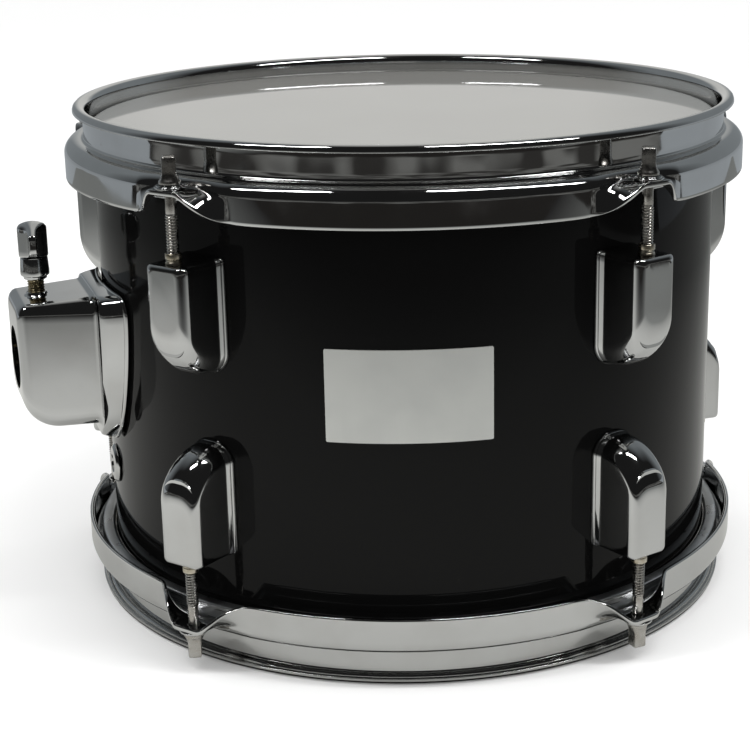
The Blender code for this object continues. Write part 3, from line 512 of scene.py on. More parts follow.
def bright_chrome(name, worn=1.0):
    """Bright chrome: near-mirror, with slow waves from the pressing or casting, a breath of haze
    and fingerprints that raise its roughness, and the hairlines of its polishing."""
    made, tree, surface = shader(name, 1.0)
    tint(tree, surface, grain(tree, 38.0, 5.0), CHROME, CHROME_HAZED, 0.45, 0.72)
    rub(tree, surface, grain(tree, 70.0, 6.0), 0.03, 0.03 + 0.08 * worn, 0.4, 0.75)
    wave = relief(tree, surface, grain(tree, 60.0, 1.0), 0.00004 * worn, 0.5)
    hairlines = grain(tree, 2400.0, 1.0, (1.0, 1.0, 0.05))
    relief(tree, surface, hairlines, 0.000004, 0.25 * worn, wave)
    return made


hoop_chrome = bright_chrome("hoop_chrome", 0.7)
ear_holes = drill(EAR_HOLE_RADIUS, EAR_DEPTH + HOOP_SHEET / 2, 3 * HOOP_SHEET, EAR_AZIMUTHS)
hoop = smooth(carved(hoop_mesh(), ear_holes), 40.0)
for end, resonant in ENDS:
    fit(f"{end}_rim_hoop", copied(hoop, 0.0, resonant), f"{end}_rim",
        hoop_chrome, f"{end}_hoop")


# --- Washers and tension rods ---
# Each ear takes a key rod of plated steel over a flat washer. The rod has a square head that swells
# into a round foot, a plain shank, and a rolled thread that has lost its shine.

THREAD_PITCH = 0.00127
THREAD_SPAN = (30.6, 63.0)
THREAD_CORE = 2.28
THREAD_RISE = 0.45
ROD_TIP = (63.5, 1.7)
ROD_STEPS = 32
# The plain part of the rod: depth and half width in mm, and the power that squares the section.
ROD_STATIONS = (
    (6.20, 2.20, 9.0), (6.26, 2.42, 9.0), (6.45, 2.70, 9.0), (6.80, 2.90, 9.0), (7.2, 3.0, 9.0),
    (10.0, 3.0, 9.0), (12.4, 3.0, 9.0), (13.4, 3.05, 8.0), (14.3, 3.2, 6.0), (15.1, 3.5, 4.2),
    (15.7, 3.85, 3.0), (16.2, 4.25, 2.3), (16.5, 4.5, 2.0), (16.8, 4.6, 2.0), (17.6, 4.6, 2.0),
    (17.9, 4.5, 2.0), (18.0, 4.2, 2.0), (18.0, 2.5, 2.0), (18.1, 2.35, 2.0), (20.0, 2.35, 2.0),
    (26.0, 2.35, 2.0), (30.4, 2.35, 2.0))
KEY_TURNS = {"batter": (20.0, 41.0, -43.0, 50.0, 10.0), "resonant": (65.0, 50.0, 12.0, 30.0, 75.0)}
WASHER_RADII = (3.3, 5.7, 6.6)
WASHER_DEPTHS = (18.3, 19.7)
WASHER_STEP = 0.55
STEEL_PALE = (0.53, 0.52, 0.5)
STEEL_BROWN = (0.42, 0.395, 0.36)


def about_line(radii, angles, levels, reach):
    """Rings round an upright line in front of the middle: x = r cos a, y = r sin a - reach."""
    rings = np.broadcast_arrays(radii * np.cos(angles), radii * np.sin(angles) - reach, levels)
    return np.stack(rings, -1).reshape(-1, 3)


def rod_mesh():
    """Rings down the rod: r(a, d) = h(d) / (|cos a|^p(d) + |sin a|^p(d))^(1/p(d)), a square at
    high p and a circle at p = 2. Over the thread r rises from its core by a power of a cosine wave
    of d / pitch plus a / full turn, so that the crest is one helix."""
    depth, half, power = np.split(np.array(ROD_STATIONS), 3, axis=1)
    pitch = THREAD_PITCH * 1000
    start, end = THREAD_SPAN
    thread = np.arange(start, end, pitch / 8)[:, None]
    grip = np.clip((thread - start) / pitch, 0, 1)
    tail = np.clip((end - thread) / pitch, 0, 1)
    angles = full_turn(ROD_STEPS)
    squared = np.abs(np.cos(angles)) ** power + np.abs(np.sin(angles)) ** power
    plain = half / squared ** (1 / power)
    turn = (thread / pitch + angles / (2 * math.pi)) % 1.0
    ridge = 0.5 + 0.5 * np.cos(2 * math.pi * turn)
    core = THREAD_CORE - 0.25 * (1 - tail)
    cut = core + THREAD_RISE * ridge ** 0.75 * (grip * tail)
    radii = np.concatenate([plain, cut, np.full((1, ROD_STEPS), ROD_TIP[1])])
    depths = np.concatenate([depth, thread, [[ROD_TIP[0]]]])
    points = about_line(radii, angles, -depths, ROD_RADIUS * 1000) / 1000
    return new_mesh("rod", points, capped(len(radii), ROD_STEPS))


def washer_mesh():
    """A flat washer with a thinner one pressed to its top, revolved about the rod."""
    hole, upper_edge, lower_edge = WASHER_RADII
    top, low = WASHER_DEPTHS
    step = top + WASHER_STEP
    corners = [
        (hole, top), (upper_edge, top), (upper_edge + 0.05, step), (lower_edge, step + 0.02),
        (lower_edge, low), (hole, low)]
    points, faces = turned(rounded(corners, 0.22), 48)
    return new_mesh("washer", points / 1000 + (0, -ROD_RADIUS, 0), faces)


def worn_steel():
    """Nickelled steel, a shade darker and warmer than chrome, with a soft grey-brown bloom."""
    made, tree, surface = shader("rod_steel", 1.0)
    tint(tree, surface, grain(tree, 160.0, 3.0), STEEL_PALE, STEEL_BROWN, 0.35, 0.75)
    rub(tree, surface, grain(tree, 300.0, 4.0), 0.16, 0.34)
    relief(tree, surface, grain(tree, 1800.0, 3.0), 0.000008, 0.3)
    return made


rod_steel = worn_steel()
washer_chrome = bright_chrome("washer_chrome")
rod = smooth(rod_mesh(), 50.0)
washer = smooth(washer_mesh())
rod_line = Matrix.Translation((0, -ROD_RADIUS, 0))
for end, resonant in ENDS:
    for number, azimuth in enumerate(EAR_AZIMUTHS, start=1):
        key_turn = Matrix.Rotation(math.radians(KEY_TURNS[end][number - 1]), 4, "Z")
        set_rod = rod.copy()
        set_rod.transform(rod_line @ key_turn @ rod_line.inverted())
        fit(f"{end}_key_rod_{number}", copied(set_rod, azimuth, resonant), f"{end}_rod_{number}",
            rod_steel, f"{end}_tension_rod_{number}")
        fit(f"{end}_rod_washer_{number}", copied(washer, azimuth, resonant), f"{end}_rim",
            washer_chrome, f"{end}_washer_{number}")


# --- Lugs and swivel nuts ---
# Zinc die castings, polished and chromed, screwed to the shell from inside. Each is a hollow box on
# a thin foot that hugs the wrap, with a long rounded heel. A turned brass nut sits in its end wall.

LUG_FRONT = 177.4
LUG_BACK = 151.8
LUG_TOE = 51.7
LUG_HEEL = 104.4
LUG_HALF_WIDTH = 10.9
LUG_LEDGE = 1.1
LUG_FOOT_HEIGHT = 4.3
# The foot's edge from the wrap up: how far it stands out of the casting, and its height.
LUG_FOOT_EDGE = (
    (1.1, 0.0), (1.1, 0.3), (1.06, 0.55), (0.76, 1.66), (0.66, 1.8), (0.7, 1.96), (0.64, 2.15),
    (0.16, 3.95), (0.05, 4.2))
LUG_EDGE_ROUND = 4.2
LUG_TOE_ROUND = 2.2
LUG_HEEL_RUN = 23.0
LUG_HEEL_CORNER = 0.84
LUG_WALL = 2.2
NUT_HOLE_RADIUS = 0.0040
BRASS_PALE = (0.62, 0.59, 0.52)
BRASS_TARNISH = (0.47, 0.41, 0.3)


def outline(half_width, top, bottom, corners, counts, sides):
    """A rounded rectangle in (x, z), counter-clockwise from its right side: corners gives the
    upper and lower radii, counts the points on each, sides the spans of top, bottom and sides."""
    high, low = corners
    def arc(x, z, radius, start, count):
        return circle(radius, np.radians(np.linspace(start, start + 90, count)), (x, z))
    right_high = arc(half_width - high, top - high, high, 0, counts[0])
    left_high = arc(high - half_width, top - high, high, 90, counts[0])
    left_low = arc(low - half_width, bottom + low, low, 180, counts[1])
    right_low = arc(half_width - low, bottom + low, low, 270, counts[1])
    def edge(start, end, spans):
        return np.linspace(start, end, spans + 1)[1:-1]
    return np.concatenate([
        right_high, edge(right_high[-1], left_high[0], sides[0]),
        left_high, edge(left_high[-1], left_low[0], sides[2]),
        left_low, edge(left_low[-1], right_low[0], sides[1]),
        right_low, edge(right_low[-1], right_high[0], sides[2])])


def rolled_edge(radius, short):
    """How far a rounded edge has drawn in where it is still short of the face."""
    reach = np.clip(radius - short, 0, radius)
    return radius - math.sqrt(radius ** 2 - reach ** 2)


def lug_ring(share, inset=0.0, ledge=0.0):
    """The lug's outline in mm at a share of its height over the foot. Its long edges and toe are
    rounded into the front face, and its heel is a quarter ellipse."""
    short = (1 - share) * (LUG_FRONT - LUG_BACK - LUG_FOOT_HEIGHT)
    half = LUG_HALF_WIDTH - rolled_edge(LUG_EDGE_ROUND, short) - inset + ledge
    draw = rolled_edge(LUG_TOE_ROUND, short)
    toe = -(LUG_TOE + LUG_LEDGE * 0.4 + draw + inset - ledge * 0.4)
    run = LUG_HEEL_RUN * (1 - math.sqrt(1 - share ** 2))
    heel = -(LUG_HEEL - LUG_LEDGE - run - inset + ledge)
    corners = (LUG_TOE_ROUND, LUG_HEEL_CORNER * half)
    return outline(half, toe, heel, corners, (7, 14), (8, 3, 16))


def lug_mesh():
    """Rings of outlines from the hollow's front, down its inside, round the foot and up the
    casing. Low rings follow the shell's cylinder, y = -sqrt(R^2 - x^2), and the front is flat."""
    height = LUG_FRONT - LUG_BACK - LUG_FOOT_HEIGHT
    foot_top = LUG_BACK + LUG_FOOT_HEIGHT
    def lay(ring, radius, hug):
        x, z = ring.T
        sag = foot_top - np.sqrt(foot_top ** 2 - x ** 2)
        return np.stack([x, -(radius - hug * sag), z], 1)
    rings = [
        lay(lug_ring(0.8, LUG_WALL), LUG_FRONT - LUG_WALL, 0),
        lay(lug_ring(0.3, LUG_WALL), foot_top, 0.5),
        lay(lug_ring(0.0, LUG_WALL), LUG_BACK, 1)]
    rings += [lay(lug_ring(0.0, 0.0, ledge), LUG_BACK + rise, 1) for ledge, rise in LUG_FOOT_EDGE]
    for share in np.sin(np.radians(np.linspace(1.5, 90, 44))):
        hug = max(0.0, 1 - share / 0.25)
        rings.append(lay(lug_ring(share), foot_top + share * height, hug))
    return new_mesh("lug", np.concatenate(rings) / 1000, capped(len(rings), len(rings[0])))


def nut_mesh():
    """A turned nut: chamfered neck with a groove where it leaves the lug, and its barrel."""
    corners = [
        (3.0, 47.3), (3.3, 47.3), (3.6, 47.65), (3.6, 49.75), (3.3, 50.0), (3.25, 50.9),
        (3.55, 51.1), (3.6, 51.6), (3.6, 54.2), (4.8, 54.2), (4.8, 66.7), (3.15, 66.7),
        (3.05, 60.0)]
    points, faces = turned(rounded(corners, 0.12, 3), 40)
    return new_mesh("nut", points / 1000 + (0, -ROD_RADIUS, 0), faces)


def dull_brass():
    """Nickelled brass: a yellow-grey satin with darker turning rings and a little tarnish."""
    made, tree, surface = shader("nut_brass", 1.0)
    tint(tree, surface, grain(tree, 260.0, 4.0), BRASS_PALE, BRASS_TARNISH)
    rings = grain(tree, 5200.0, 1.0, (0.02, 0.02, 1.0))
    rub(tree, surface, rings, 0.17, 0.33)
    relief(tree, surface, rings, 0.00001, 0.4)
    return made


lug_chrome = bright_chrome("lug_chrome")
nut_brass = dull_brass()
lug = smooth(carved(lug_mesh(), drill(NUT_HOLE_RADIUS, LUG_TOE / 1000, 0.008, [0.0])))
nut = smooth(nut_mesh())
for end, resonant in ENDS:
    for number, azimuth in enumerate(EAR_AZIMUTHS, start=1):
        fit(f"{end}_lug_casting_{number}", copied(lug, azimuth, resonant), "drum",
            lug_chrome, f"{end}_lug_{number}")
        fit(f"{end}_lug_nut_{number}", copied(nut, azimuth, resonant), "drum",
            nut_brass, f"{end}_swivel_nut_{number}")


# --- Arm bracket ---
# A chromed zinc casting on the drum's left side. A shield-shaped foot hugs the wrap, and a round-
# edged housing stands on it, bored for the arm's tube, with a boss for the clamp's bolt on top.

FOOT_BACK = 151.8
FOOT_FRONT = 160.0
FOOT_HALF_WIDTH = 38.0
FOOT_RISE = 32.8
FOOT_FALL = 42.0
FOOT_CORNERS = (9.0, 14.0)
FOOT_TAPER = (18.5, 2.3)
FOOT_EDGE = 1.3
FOOT_BORDER = 4.6
FOOT_EYE = 17.0
HOUSING_FACE = 196.0
HOUSING_BACK = 160.3
HOUSING_HALF_WIDTH = 20.5
HOUSING_TOP = 29.0
HOUSING_LOW = -31.5
HOUSING_SPLAY = (5.0, 2.0)
HOUSING_ROUND = 4.5
HOUSING_SWEEP = 17.0
HOUSING_FILLET = 2.4
BORE_REACH = (140.0, 210.0)
BOLT_RADIUS = 184.0
BOSS_TOP = 31.1
# The shoe's pocket and the bolt's hole: radius, lower and upper end.
BOLT_BORES = ((6.6, 5.0, 23.0), (4.2, 20.0, 40.0))


def side_place(points):
    """From mm about the bore's height at azimuth 0 to metres at the bracket's azimuth."""
    turn = np.array(Matrix.Rotation(side, 3, "Z"))
    return np.asarray(points, float) / 1000 @ turn.T + (0, 0, BORE_Z)


def foot_ring(inset):
    """The shield: a rounded rectangle whose width shrinks by 18.5 mm s^2.3 towards its point."""
    high, low = FOOT_CORNERS
    ring = outline(
        FOOT_HALF_WIDTH - inset, FOOT_RISE - inset / 4, inset / 2 - FOOT_FALL,
        (high, low - inset / 2), (12, 12), (24, 8, 16))
    share = (FOOT_RISE - ring[:, 1]) / (FOOT_RISE + FOOT_FALL)
    taper, power = FOOT_TAPER
    ring[:, 0] *= 1 - taper / FOOT_HALF_WIDTH * share ** power
    return ring


def bracket_foot_mesh():
    """Rings round a hole: back of the eye, out over the curved back, up the rounded edge, in over
    the sloping border to the flat front. The share called hug blends the flat into the cylinder."""
    spokes = foot_ring(0.0)
    eye = circle(FOOT_EYE, np.arctan2(spokes[:, 1], spokes[:, 0]))
    def lay(ring, radius, hug):
        x, z = ring.T
        on_cylinder = np.sqrt(FOOT_BACK ** 2 - x ** 2) + radius - FOOT_BACK
        return np.stack([x, -(hug * on_cylinder + (1 - hug) * radius), z], 1)
    rings = [lay(eye + (spokes - eye) * t, FOOT_BACK, 1) for t in np.linspace(0, 1, 8)[:-1]]
    for turn in np.radians(np.linspace(0, 90, 7)):
        rise = FOOT_EDGE + FOOT_EDGE * math.sin(turn)
        rings.append(lay(foot_ring(FOOT_EDGE * (1 - math.cos(turn))), FOOT_BACK + rise, 1))
    edge_top = FOOT_BACK + 2 * FOOT_EDGE
    for t in np.linspace(0.12, 1, 9):
        radius = edge_top + (FOOT_FRONT - edge_top) * math.sin(t * math.pi / 2) ** 0.9
        rings.append(lay(foot_ring(FOOT_EDGE + FOOT_BORDER * t), radius, 1 - t))
    inner = foot_ring(FOOT_EDGE + FOOT_BORDER)
    rings += [lay(inner + (eye - inner) * t, FOOT_FRONT, 0) for t in (0.1, 0.5, 1.0)]
    faces = net(len(rings), len(spokes), close_rows=True)
    return new_mesh("bracket_foot", side_place(np.concatenate(rings)), faces)


def bracket_housing_mesh():
    """Outlines from the foot to the outer face: w = 20.5 + 5 (1 - s) + fillet, edges rolled by
    4.5 mm into the face, and the underside swept up by a 17 mm round."""
    reach = HOUSING_FACE - HOUSING_BACK
    rings = []
    shares = np.concatenate([
        np.linspace(0, 0.08, 7), np.linspace(0.12, 0.5, 6),
        1 - 0.5 * (1 - np.sin(np.linspace(0.1, math.pi / 2, 34)))])
    for share in shares:
        short = (1 - share) * reach
        pull = rolled_edge(HOUSING_ROUND, short)
        lift = rolled_edge(HOUSING_SWEEP, short)
        fillet = rolled_edge(HOUSING_FILLET, share * reach)
        half = HOUSING_HALF_WIDTH + HOUSING_SPLAY[0] * (1 - share) - pull + fillet
        top = HOUSING_TOP + HOUSING_SPLAY[1] * (1 - share) - pull + fillet * 0.8
        corner = HOUSING_ROUND * (1.8 - 0.8 * share) + 0.6 * fillet
        corners = (corner, corner + 2.5 * share)
        ring = outline(half, top, lift + HOUSING_LOW - fillet, corners, (12, 12), (10, 10, 14))
        x, z = ring.T
        rings.append(np.stack([x, np.full_like(x, -(HOUSING_BACK + share * reach)), z], 1))
    points = side_place(np.concatenate(rings))
    return new_mesh("bracket_housing", points, capped(len(rings), len(rings[0])))


def upright(name, profile, steps=64):
    """A mesh of a profile of (radius, height) in mm revolved about the clamp bolt's axis."""
    points, faces = turned(np.asarray(profile, float) * (1, -1), steps)
    return new_mesh(name, side_place(points + (0, -BOLT_RADIUS, 0)), faces)


def bore_mesh():
    """A cylinder along the arm's axis, from inside the shell to outside the housing."""
    x, z = circle(BORE_RADIUS * 1000, full_turn(96)).T
    rings = [np.stack([x, np.full_like(x, -reach), z], 1) for reach in BORE_REACH]
    return new_mesh("bore", side_place(np.concatenate(rings)), capped(2, len(x)))


bracket_chrome = bright_chrome("bracket_chrome", 1.2)
fit("arm_bracket_base", smooth(bracket_foot_mesh()), "drum",
    bracket_chrome, "bracket_foot")
boss_side = [
    (4.7 + 4.6 * (1 - math.sin(t)), 31.0 - 2.6 * math.cos(t))
    for t in np.linspace(0, math.pi / 2, 12)]
boss = upright("boss", [
    (0, 24.0), (10.5, 24.0), (10.2, 27.6), *boss_side, (4.55, BOSS_TOP), (0, BOSS_TOP)])
housing = carved(bracket_housing_mesh(), boss, "UNION")
housing = carved(housing, bore_mesh())
for radius, low, high in BOLT_BORES:
    bore = upright("drill", [(0, low), (radius, low), (radius, high), (0, high)])
    housing = carved(housing, bore)
fit("arm_bracket_socket", smooth(housing), "drum",
    bracket_chrome, "bracket_housing")


# --- Clamp bolt and shoe ---
# A cast wing bolt screws down through the housing's boss and presses a loose brass shoe on the
# arm's tube. Its wings narrow from a broad hub to thin drooping tips.

WING_AZIMUTH = 11.6
WING_REACH = 14.0
WING_TOP = (14.9, 3.4)
WING_LOW = (-0.6, 4.4)
WING_CROWN = 1.9
HUB_LOW = 39.0
HUB_TOP = 47.8
COLLAR_LOW = 37.3
BOLT_PITCH = 1.25
BOLT_SPAN = (21.9, 37.25)
BOLT_CORE = 3.4
BOLT_THREAD = 0.56
PASSIVATE_YELLOW = (0.52, 0.44, 0.28)
PASSIVATE_DARK = (0.3, 0.24, 0.14)
SHOE_BRASS = (0.74, 0.59, 0.31)
SHOE_DARK = (0.5, 0.36, 0.17)


def wing_mesh():
    """Sections along the wings, u from tip to tip: half width 1.9 + 4.9 exp(-(u/5.2)^2), a top
    that droops by 3.4 (u/14)^2 mm and crowns across by up to 1.9 mm, and slightly rounded ends."""
    rings = []
    for reach in WING_REACH * np.sin(np.radians(np.linspace(-90, 90, 61))):
        share = abs(reach) / WING_REACH
        shrink = 1 - 0.3 * max(0.0, (share - 0.94) / 0.06) ** 2
        half = (1.9 + 4.9 * math.exp(-(reach / 5.2) ** 2)) * shrink
        top = WING_TOP[0] - WING_TOP[1] * share ** 2
        low = WING_LOW[0] + WING_LOW[1] * share ** 1.5
        middle = (top + low) / 2
        corner = 0.18 * half + 0.3
        ring = outline(
            half, middle + (top - middle) * shrink, middle + (low - middle) * shrink,
            (corner, corner), (7, 5), (8, 3, 6))
        x, z = ring.T
        crown = WING_CROWN * half / 6.8 * (1 - (x / half) ** 2)
        z = z + crown * np.clip((z - middle) / (top - middle), 0, 1)
        rings.append(np.stack([x, np.full_like(x, reach), z + HUB_TOP], 1))
    turn = np.array(Matrix.Rotation(math.radians(WING_AZIMUTH - SIDE_AZIMUTH), 3, "Z"))
    points = side_place(np.concatenate(rings) @ turn.T + (0, -BOLT_RADIUS, 0))
    return new_mesh("wings", points, capped(len(rings), len(rings[0])))


def hub_mesh():
    """The hub and its collar, a profile revolved."""
    body = rounded([
        (4.0, HUB_TOP), (6.3, HUB_TOP), (6.75, 41.2), (6.7, HUB_LOW + 0.1), (5.5, HUB_LOW),
        (5.4, COLLAR_LOW), (3.0, COLLAR_LOW)], 0.5)[4:-4]
    return upright("hub", [(0.0, HUB_TOP), *body, (0.0, COLLAR_LOW)], 48)


def thread_mesh():
    """A helix: r(a, h) = core + rise (1/2 + 1/2 cos(2 pi h / pitch - a))^0.8, less at both ends."""
    low, high = BOLT_SPAN
    heights = np.arange(low, high, BOLT_PITCH / 8)[:, None]
    angles = full_turn(40)
    ridge = 0.5 + 0.5 * np.cos(2 * math.pi * heights / BOLT_PITCH - angles)
    fade = np.clip(np.minimum(heights - low, high - heights) / 0.6, 0, 1)
    radii = BOLT_CORE + BOLT_THREAD * ridge ** 0.8 * fade
    points = side_place(about_line(radii, angles, heights, BOLT_RADIUS))
    return new_mesh("thread", points, capped(len(heights), len(angles)))


def yellow_passivate():
    """Yellow-passivated steel: brass-coloured, with darker patches and rougher patches at random.
    """
    made, tree, surface = shader("bolt_thread_passivate", 1.0)
    tint(tree, surface, grain(tree, 300.0, 4.0), PASSIVATE_YELLOW, PASSIVATE_DARK)
    rub(tree, surface, grain(tree, 500.0, 3.0), 0.2, 0.36)
    relief(tree, surface, grain(tree, 2600.0, 2.0), 0.00001, 0.4)
    return made


def plain_brass():
    """Bare brass: warm, satin, scored along the arm where the tube has slid."""
    made, tree, surface = shader("shoe_brass", 1.0)
    wear = grain(tree, 420.0, 4.0)
    tint(tree, surface, wear, SHOE_BRASS, SHOE_DARK)
    rub(tree, surface, wear, 0.2, 0.45)
    relief(tree, surface, grain(tree, 1400.0, 3.0, (0.1, 1.0, 1.0)), 0.00002, 0.5)
    return made


bolt = carved(hub_mesh(), wing_mesh(), "UNION")
fit("arm_wing_bolt", smooth(bolt, 30.0), "wing_bolt",
    bright_chrome("bolt_chrome"), "clamp_bolt")
fit("arm_bolt_thread", smooth(thread_mesh(), 50.0), "wing_bolt",
    yellow_passivate(), "clamp_bolt")
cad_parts["clamp_shoe"].material_slots[0].material = plain_brass()


# --- Vent and badge ---
# A chromed eyelet lets the air out through the shell under the bracket, its end curled over inside.
# The badge is a thin, bare, silver-faced plate stuck to the wrap at the front.

# The eyelet's section: radius round its own axis and distance from the drum's, in mm.
EYELET_SECTION = (
    (4.2, 152.6), (4.5, 153.8), (5.6, 154.05), (7.9, 153.5), (9.4, 152.3), (9.5, 151.8),
    (5.5, 151.75), (5.5, 144.35), (7.4, 144.3), (7.4, 143.1), (4.2, 143.2))
BADGE_AZIMUTH = -0.65
BADGE_Z = -0.0997
BADGE_SIZE = (72.5, 41.5)
BADGE_SHEET = 0.0006
BADGE_SEAT = 0.0003
BADGE_CORNER = 0.7
SILVER_PALE = (0.65, 0.66, 0.635)
SILVER_SHADE = (0.61, 0.62, 0.6)

points, faces = turned(rounded(EYELET_SECTION, 0.35), 64)
vent_place = side_place(points[:, [0, 2, 1]]) + (0, 0, VENT_Z - BORE_Z)
vent = smooth(new_mesh("vent", vent_place, faces))
fit("vent_eyelet", vent, "drum", bright_chrome("vent_chrome"), "vent_grommet")


def badge_mesh():
    """A rounded rectangle drawn in to its middle ring by ring and laid on the wrap's cylinder:
    azimuth = x / radius."""
    width, height = BADGE_SIZE
    corners = (BADGE_CORNER, BADGE_CORNER)
    edge = outline(width / 2, height / 2, -height / 2, corners, (5, 5), (40, 40, 12)) / 1000
    shares = (1.0, 0.985, 0.9, 0.75, 0.6, 0.45, 0.3, 0.15, 0.02)
    radius = WRAP_RADIUS + BADGE_SEAT
    x, z = np.concatenate([edge * share for share in shares]).T
    points = round_about(x / radius + math.radians(BADGE_AZIMUTH), radius, z + BADGE_Z)
    middle = list(range(len(points) - len(edge), len(points)))
    faces = [*net(len(shares), len(edge)).tolist(), middle]
    return baked(new_mesh("badge", points, faces), "SOLIDIFY", thickness=BADGE_SHEET, offset=1.0)


def silver_plate():
    """Satin silver foil on plastic: upright brushing, a soft ripple and a few scuffs."""
    made, tree, surface = shader("badge_silver", 0.75)
    tint(tree, surface, grain(tree, 45.0, 4.0), SILVER_PALE, SILVER_SHADE)
    brushed = grain(tree, 1400.0, 3.0, (1.0, 1.0, 0.03))
    rub(tree, surface, brushed, 0.28, 0.36)
    ripple = relief(tree, surface, grain(tree, 38.0, 1.0), 0.00006, 0.5)
    relief(tree, surface, brushed, 0.000003, 0.25, ripple)
    return made


badge = smooth(badge_mesh(), 30.0)
fit("badge_plain", badge, "drum", silver_plate(), "badge_plate")


# --- Studio ---
# A plain pale floor under soft overhead light, with dark surroundings in front that only the gloss
# and the chrome show, and a camera at the photograph's place.

FLOOR = 7.0
FLOOR_SPLIT = 0.1
PAPER_WHITE = (0.9, 0.9, 0.897)
TABLE_REFLECTION_NEAR = (0.52, 0.52, 0.498)
TABLE_REFLECTION_FAR = (0.16, 0.165, 0.16)
BACK_REFLECTION_TONE = (0.26, 0.28, 0.295)
REFLECTION_EDGE_DARK = (0.02, 0.02, 0.02)
ROOM_REFLECTION_DARK = (0.015, 0.014, 0.013)
ROOM_REFLECTION_PALE = (0.14, 0.14, 0.134)
FRONT_TONE = (0.015, 0.015, 0.015)
SCREEN_TONE = (0.64, 0.64, 0.62)
ASIDE_TONE = (0.22, 0.24, 0.252)
SKY_WHITE = (1.15, 1.15, 1.15)


def studio_card(name, sides, rise, finish, seen_by_camera=True):
    """A level card that belongs to the studio, between its left, right, front and back sides. One
    that the camera doesn't see lights and shades nothing, and shows only in gloss."""
    left, right, front, back = sides
    z = RIM_BOTTOM + rise
    corners = [(left, front, z), (right, front, z), (right, back, z), (left, back, z)]
    mesh = bpy.data.meshes.new(name)
    mesh.from_pydata(corners, [], [(0, 1, 2, 3)])
    mesh.materials.append(finish)
    card = linked(name, mesh)
    if not seen_by_camera:
        card.visible_camera = False
        card.visible_diffuse = False
        card.visible_shadow = False


def pale_paper():
    """Matt white paper with the faintest tooth."""
    made, tree, surface = shader("pale_paper")
    surface.inputs["Base Color"].default_value = (*PAPER_WHITE, 1.0)
    surface.inputs["Roughness"].default_value = 0.9
    relief(tree, surface, grain(tree, 700.0, 2.0), 0.0001, 0.1)
    return made


def matt_shader(name):
    """A material with no gloss at all, for what only gloss and chrome see."""
    made, tree, surface = shader(name)
    surface.inputs["Roughness"].default_value = 1.0
    surface.inputs["Specular IOR Level"].default_value = 0.0
    return made, tree, surface


def how_far(tree, spot):
    """The distance from a spot, in metres of object coordinates."""
    place = tree.nodes.new("ShaderNodeTexCoord")
    reach = tree.nodes.new("ShaderNodeVectorMath")
    reach.operation = "DISTANCE"
    reach.inputs[1].default_value = spot
    tree.links.new(place.outputs["Object"], reach.inputs[0])
    return reach.outputs["Value"]


def product(tree, first, second):
    """Two factors multiplied."""
    times = tree.nodes.new("ShaderNodeMath")
    times.operation = "MULTIPLY"
    tree.links.new(first, times.inputs[0])
    tree.links.new(second, times.inputs[1])
    return times.outputs["Value"]


def reflection_paint(name, near, far):
    """Painted reflection, seen only in gloss: it turns from near to far between 0.3 and 0.85 m
    from a spot under the drum's left half, and dark towards the front."""
    made, tree, surface = matt_shader(name)
    away = spread(tree, how_far(tree, (-0.12, 0.0, RIM_BOTTOM)), 0.0, 1.0, 0.3, 0.85)
    place = tree.nodes.new("ShaderNodeTexCoord")
    split = tree.nodes.new("ShaderNodeSeparateXYZ")
    tree.links.new(place.outputs["Object"], split.inputs["Vector"])
    front = spread(tree, split.outputs["Y"], 1.0, 0.0, -0.85, -0.45)
    faded = blend_colours(tree, front, blend_colours(tree, away, near, far), REFLECTION_EDGE_DARK)
    tree.links.new(faded, surface.inputs["Base Color"])
    return made


def dark_room_reflection():
    """Painted reflection of a dark room: dark, with paler patches that start 1.3 m from the drum.
    """
    made, tree, surface = matt_shader("dark_room_reflection")
    beyond = spread(tree, how_far(tree, (0.0, 0.0, 0.0)), 0.0, 1.0, 1.29, 1.39)
    patches = spread(tree, grain(tree, 3.2, 1.0), 0.1, 1.0, 0.44, 0.6)
    patched = blend_colours(tree, product(tree, beyond, patches), ROOM_REFLECTION_DARK, ROOM_REFLECTION_PALE)
    tree.links.new(patched, surface.inputs["Base Color"])
    return made


# Painted reflection, seen only in gloss: a darker copy of the floor under the drum that fades with
# distance and darkens towards the front.
table_reflection_shade = reflection_paint("table_reflection_shade", TABLE_REFLECTION_NEAR, TABLE_REFLECTION_FAR)
# Painted reflection, seen only in gloss: a grey-blue room behind the drum.
back_reflection_tone = reflection_paint("back_reflection_tone", BACK_REFLECTION_TONE, BACK_REFLECTION_TONE)
studio_card("floor", (-FLOOR, FLOOR, -FLOOR, FLOOR), 0.0, pale_paper())
studio_card("table_seen", (-1.15, 0.95, -0.85, 0.9), 0.002, table_reflection_shade, False)
# Painted reflection, seen only in gloss: the dark room in front, with paler patches far off.
studio_card("front_seen", (-FLOOR, FLOOR, -FLOOR, FLOOR_SPLIT), 0.001, dark_room_reflection(), False)
studio_card("back_seen", (-FLOOR, FLOOR, FLOOR_SPLIT, FLOOR), 0.001, back_reflection_tone, False)


def stand(thing, across, up, back, place):
    """Put a light or the camera at a place, its own X, Y and Z along three directions."""
    matrix = np.eye(4)
    matrix[:3] = np.stack([across, up, back, place], 1)
    thing.matrix_world = Matrix(matrix.tolist())


def soft_light(name, place, aim, size, power):
    """A rectangular soft light that faces a point."""
    lamp = bpy.data.lights.new(name, "AREA")
    lamp.shape = "RECTANGLE"
    lamp.size, lamp.size_y = size
    lamp.energy = power
    way = np.array(aim) - np.array(place)
    way /= np.linalg.norm(way)
    across = np.cross(way, (0.0, 1.0, 0.0))
    across /= np.linalg.norm(across)
    stand(linked(name, lamp), across, np.cross(across, way), -way, place)


soft_light("left_box", (-0.78, -0.4, 1.3), (-0.78, -0.05, 0.0), (0.76, 0.16), 6.0)
soft_light("right_box", (0.66, -0.4, 1.3), (0.66, -0.05, 0.0), (1.1, 0.16), 9.0)

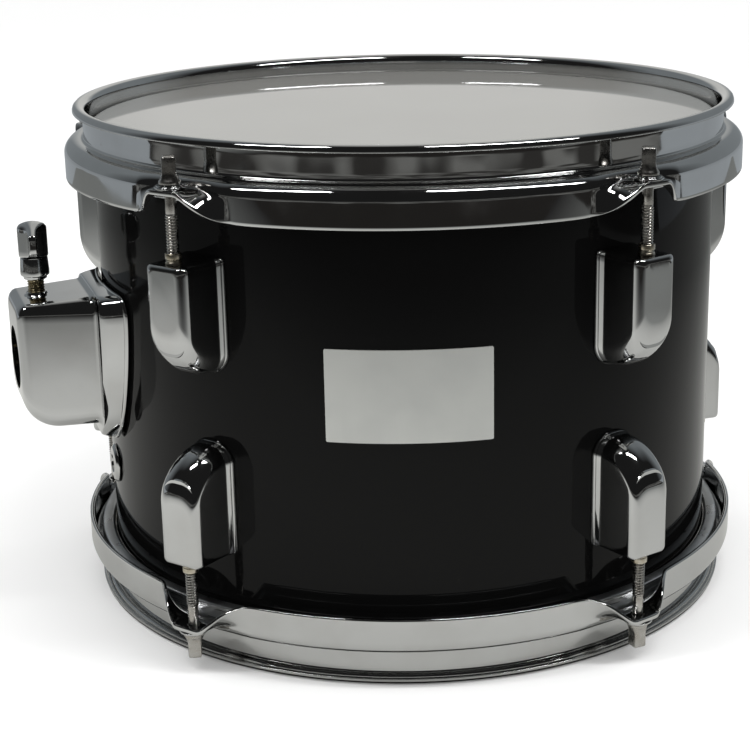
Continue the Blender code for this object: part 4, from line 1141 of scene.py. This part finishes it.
# White light for all but gloss. Gloss sees dark in front and, behind, a pale screen between greys.
world = bpy.data.worlds.new("studio")
bpy.context.scene.world = world
world.use_nodes = True
world.cycles.sampling_method = "NONE"
sky = world.node_tree
ways = sky.nodes.new("ShaderNodeTexCoord")
split = sky.nodes.new("ShaderNodeSeparateXYZ")
sky.links.new(ways.outputs["Generated"], split.inputs["Vector"])
behind = spread(sky, split.outputs["Y"], 0.0, 1.0, 0.0, 0.45)
level = spread(sky, split.outputs["Z"], 1.0, 0.85, 0.55, 0.8)
aside = sky.nodes.new("ShaderNodeMath")
aside.operation = "ABSOLUTE"
sky.links.new(split.outputs["X"], aside.inputs[0])
off_middle = spread(sky, aside.outputs["Value"], 0.0, 1.0, 0.12, 0.3)
screen = blend_colours(sky, off_middle, SCREEN_TONE, ASIDE_TONE)
mirrored = blend_colours(sky, product(sky, behind, level), FRONT_TONE, screen)
seen_by = sky.nodes.new("ShaderNodeLightPath")
light = blend_colours(sky, seen_by.outputs["Is Glossy Ray"], SKY_WHITE, mirrored)
sky.links.new(light, sky.nodes["Background"].inputs["Color"])
bpy.context.scene.view_settings.view_transform = "Standard"

# The camera stands 0.35 m over the floor, just left of the middle, and looks down 16.5 degrees.
CAMERA_PLACE = (-0.0136, -0.842, 0.1234)
CAMERA_TURNS = (-0.93, 16.507, -0.919)
PICTURE = 750
FOCAL_PIXELS = 1711.34
MIDDLE_PIXEL = (407.14, 355.17)
SENSOR = 36.0

swing, pitch, roll = (math.radians(turn) for turn in CAMERA_TURNS)
ahead = np.array([
    -math.sin(swing) * math.cos(pitch), math.cos(swing) * math.cos(pitch), -math.sin(pitch)])
right = np.array([math.cos(swing), math.sin(swing), 0.0])
above = np.cross(right, ahead)
lens = bpy.data.cameras.new("camera")
lens.sensor_width = SENSOR
lens.lens = FOCAL_PIXELS / PICTURE * SENSOR
lens.shift_x = (PICTURE / 2 - MIDDLE_PIXEL[0]) / PICTURE
lens.shift_y = (MIDDLE_PIXEL[1] - PICTURE / 2) / PICTURE
lens.clip_start = 0.01
camera = linked("camera", lens)
stand(
    camera, right * math.cos(roll) + above * math.sin(roll),
    above * math.cos(roll) - right * math.sin(roll), -ahead, CAMERA_PLACE)
bpy.context.scene.camera = camera
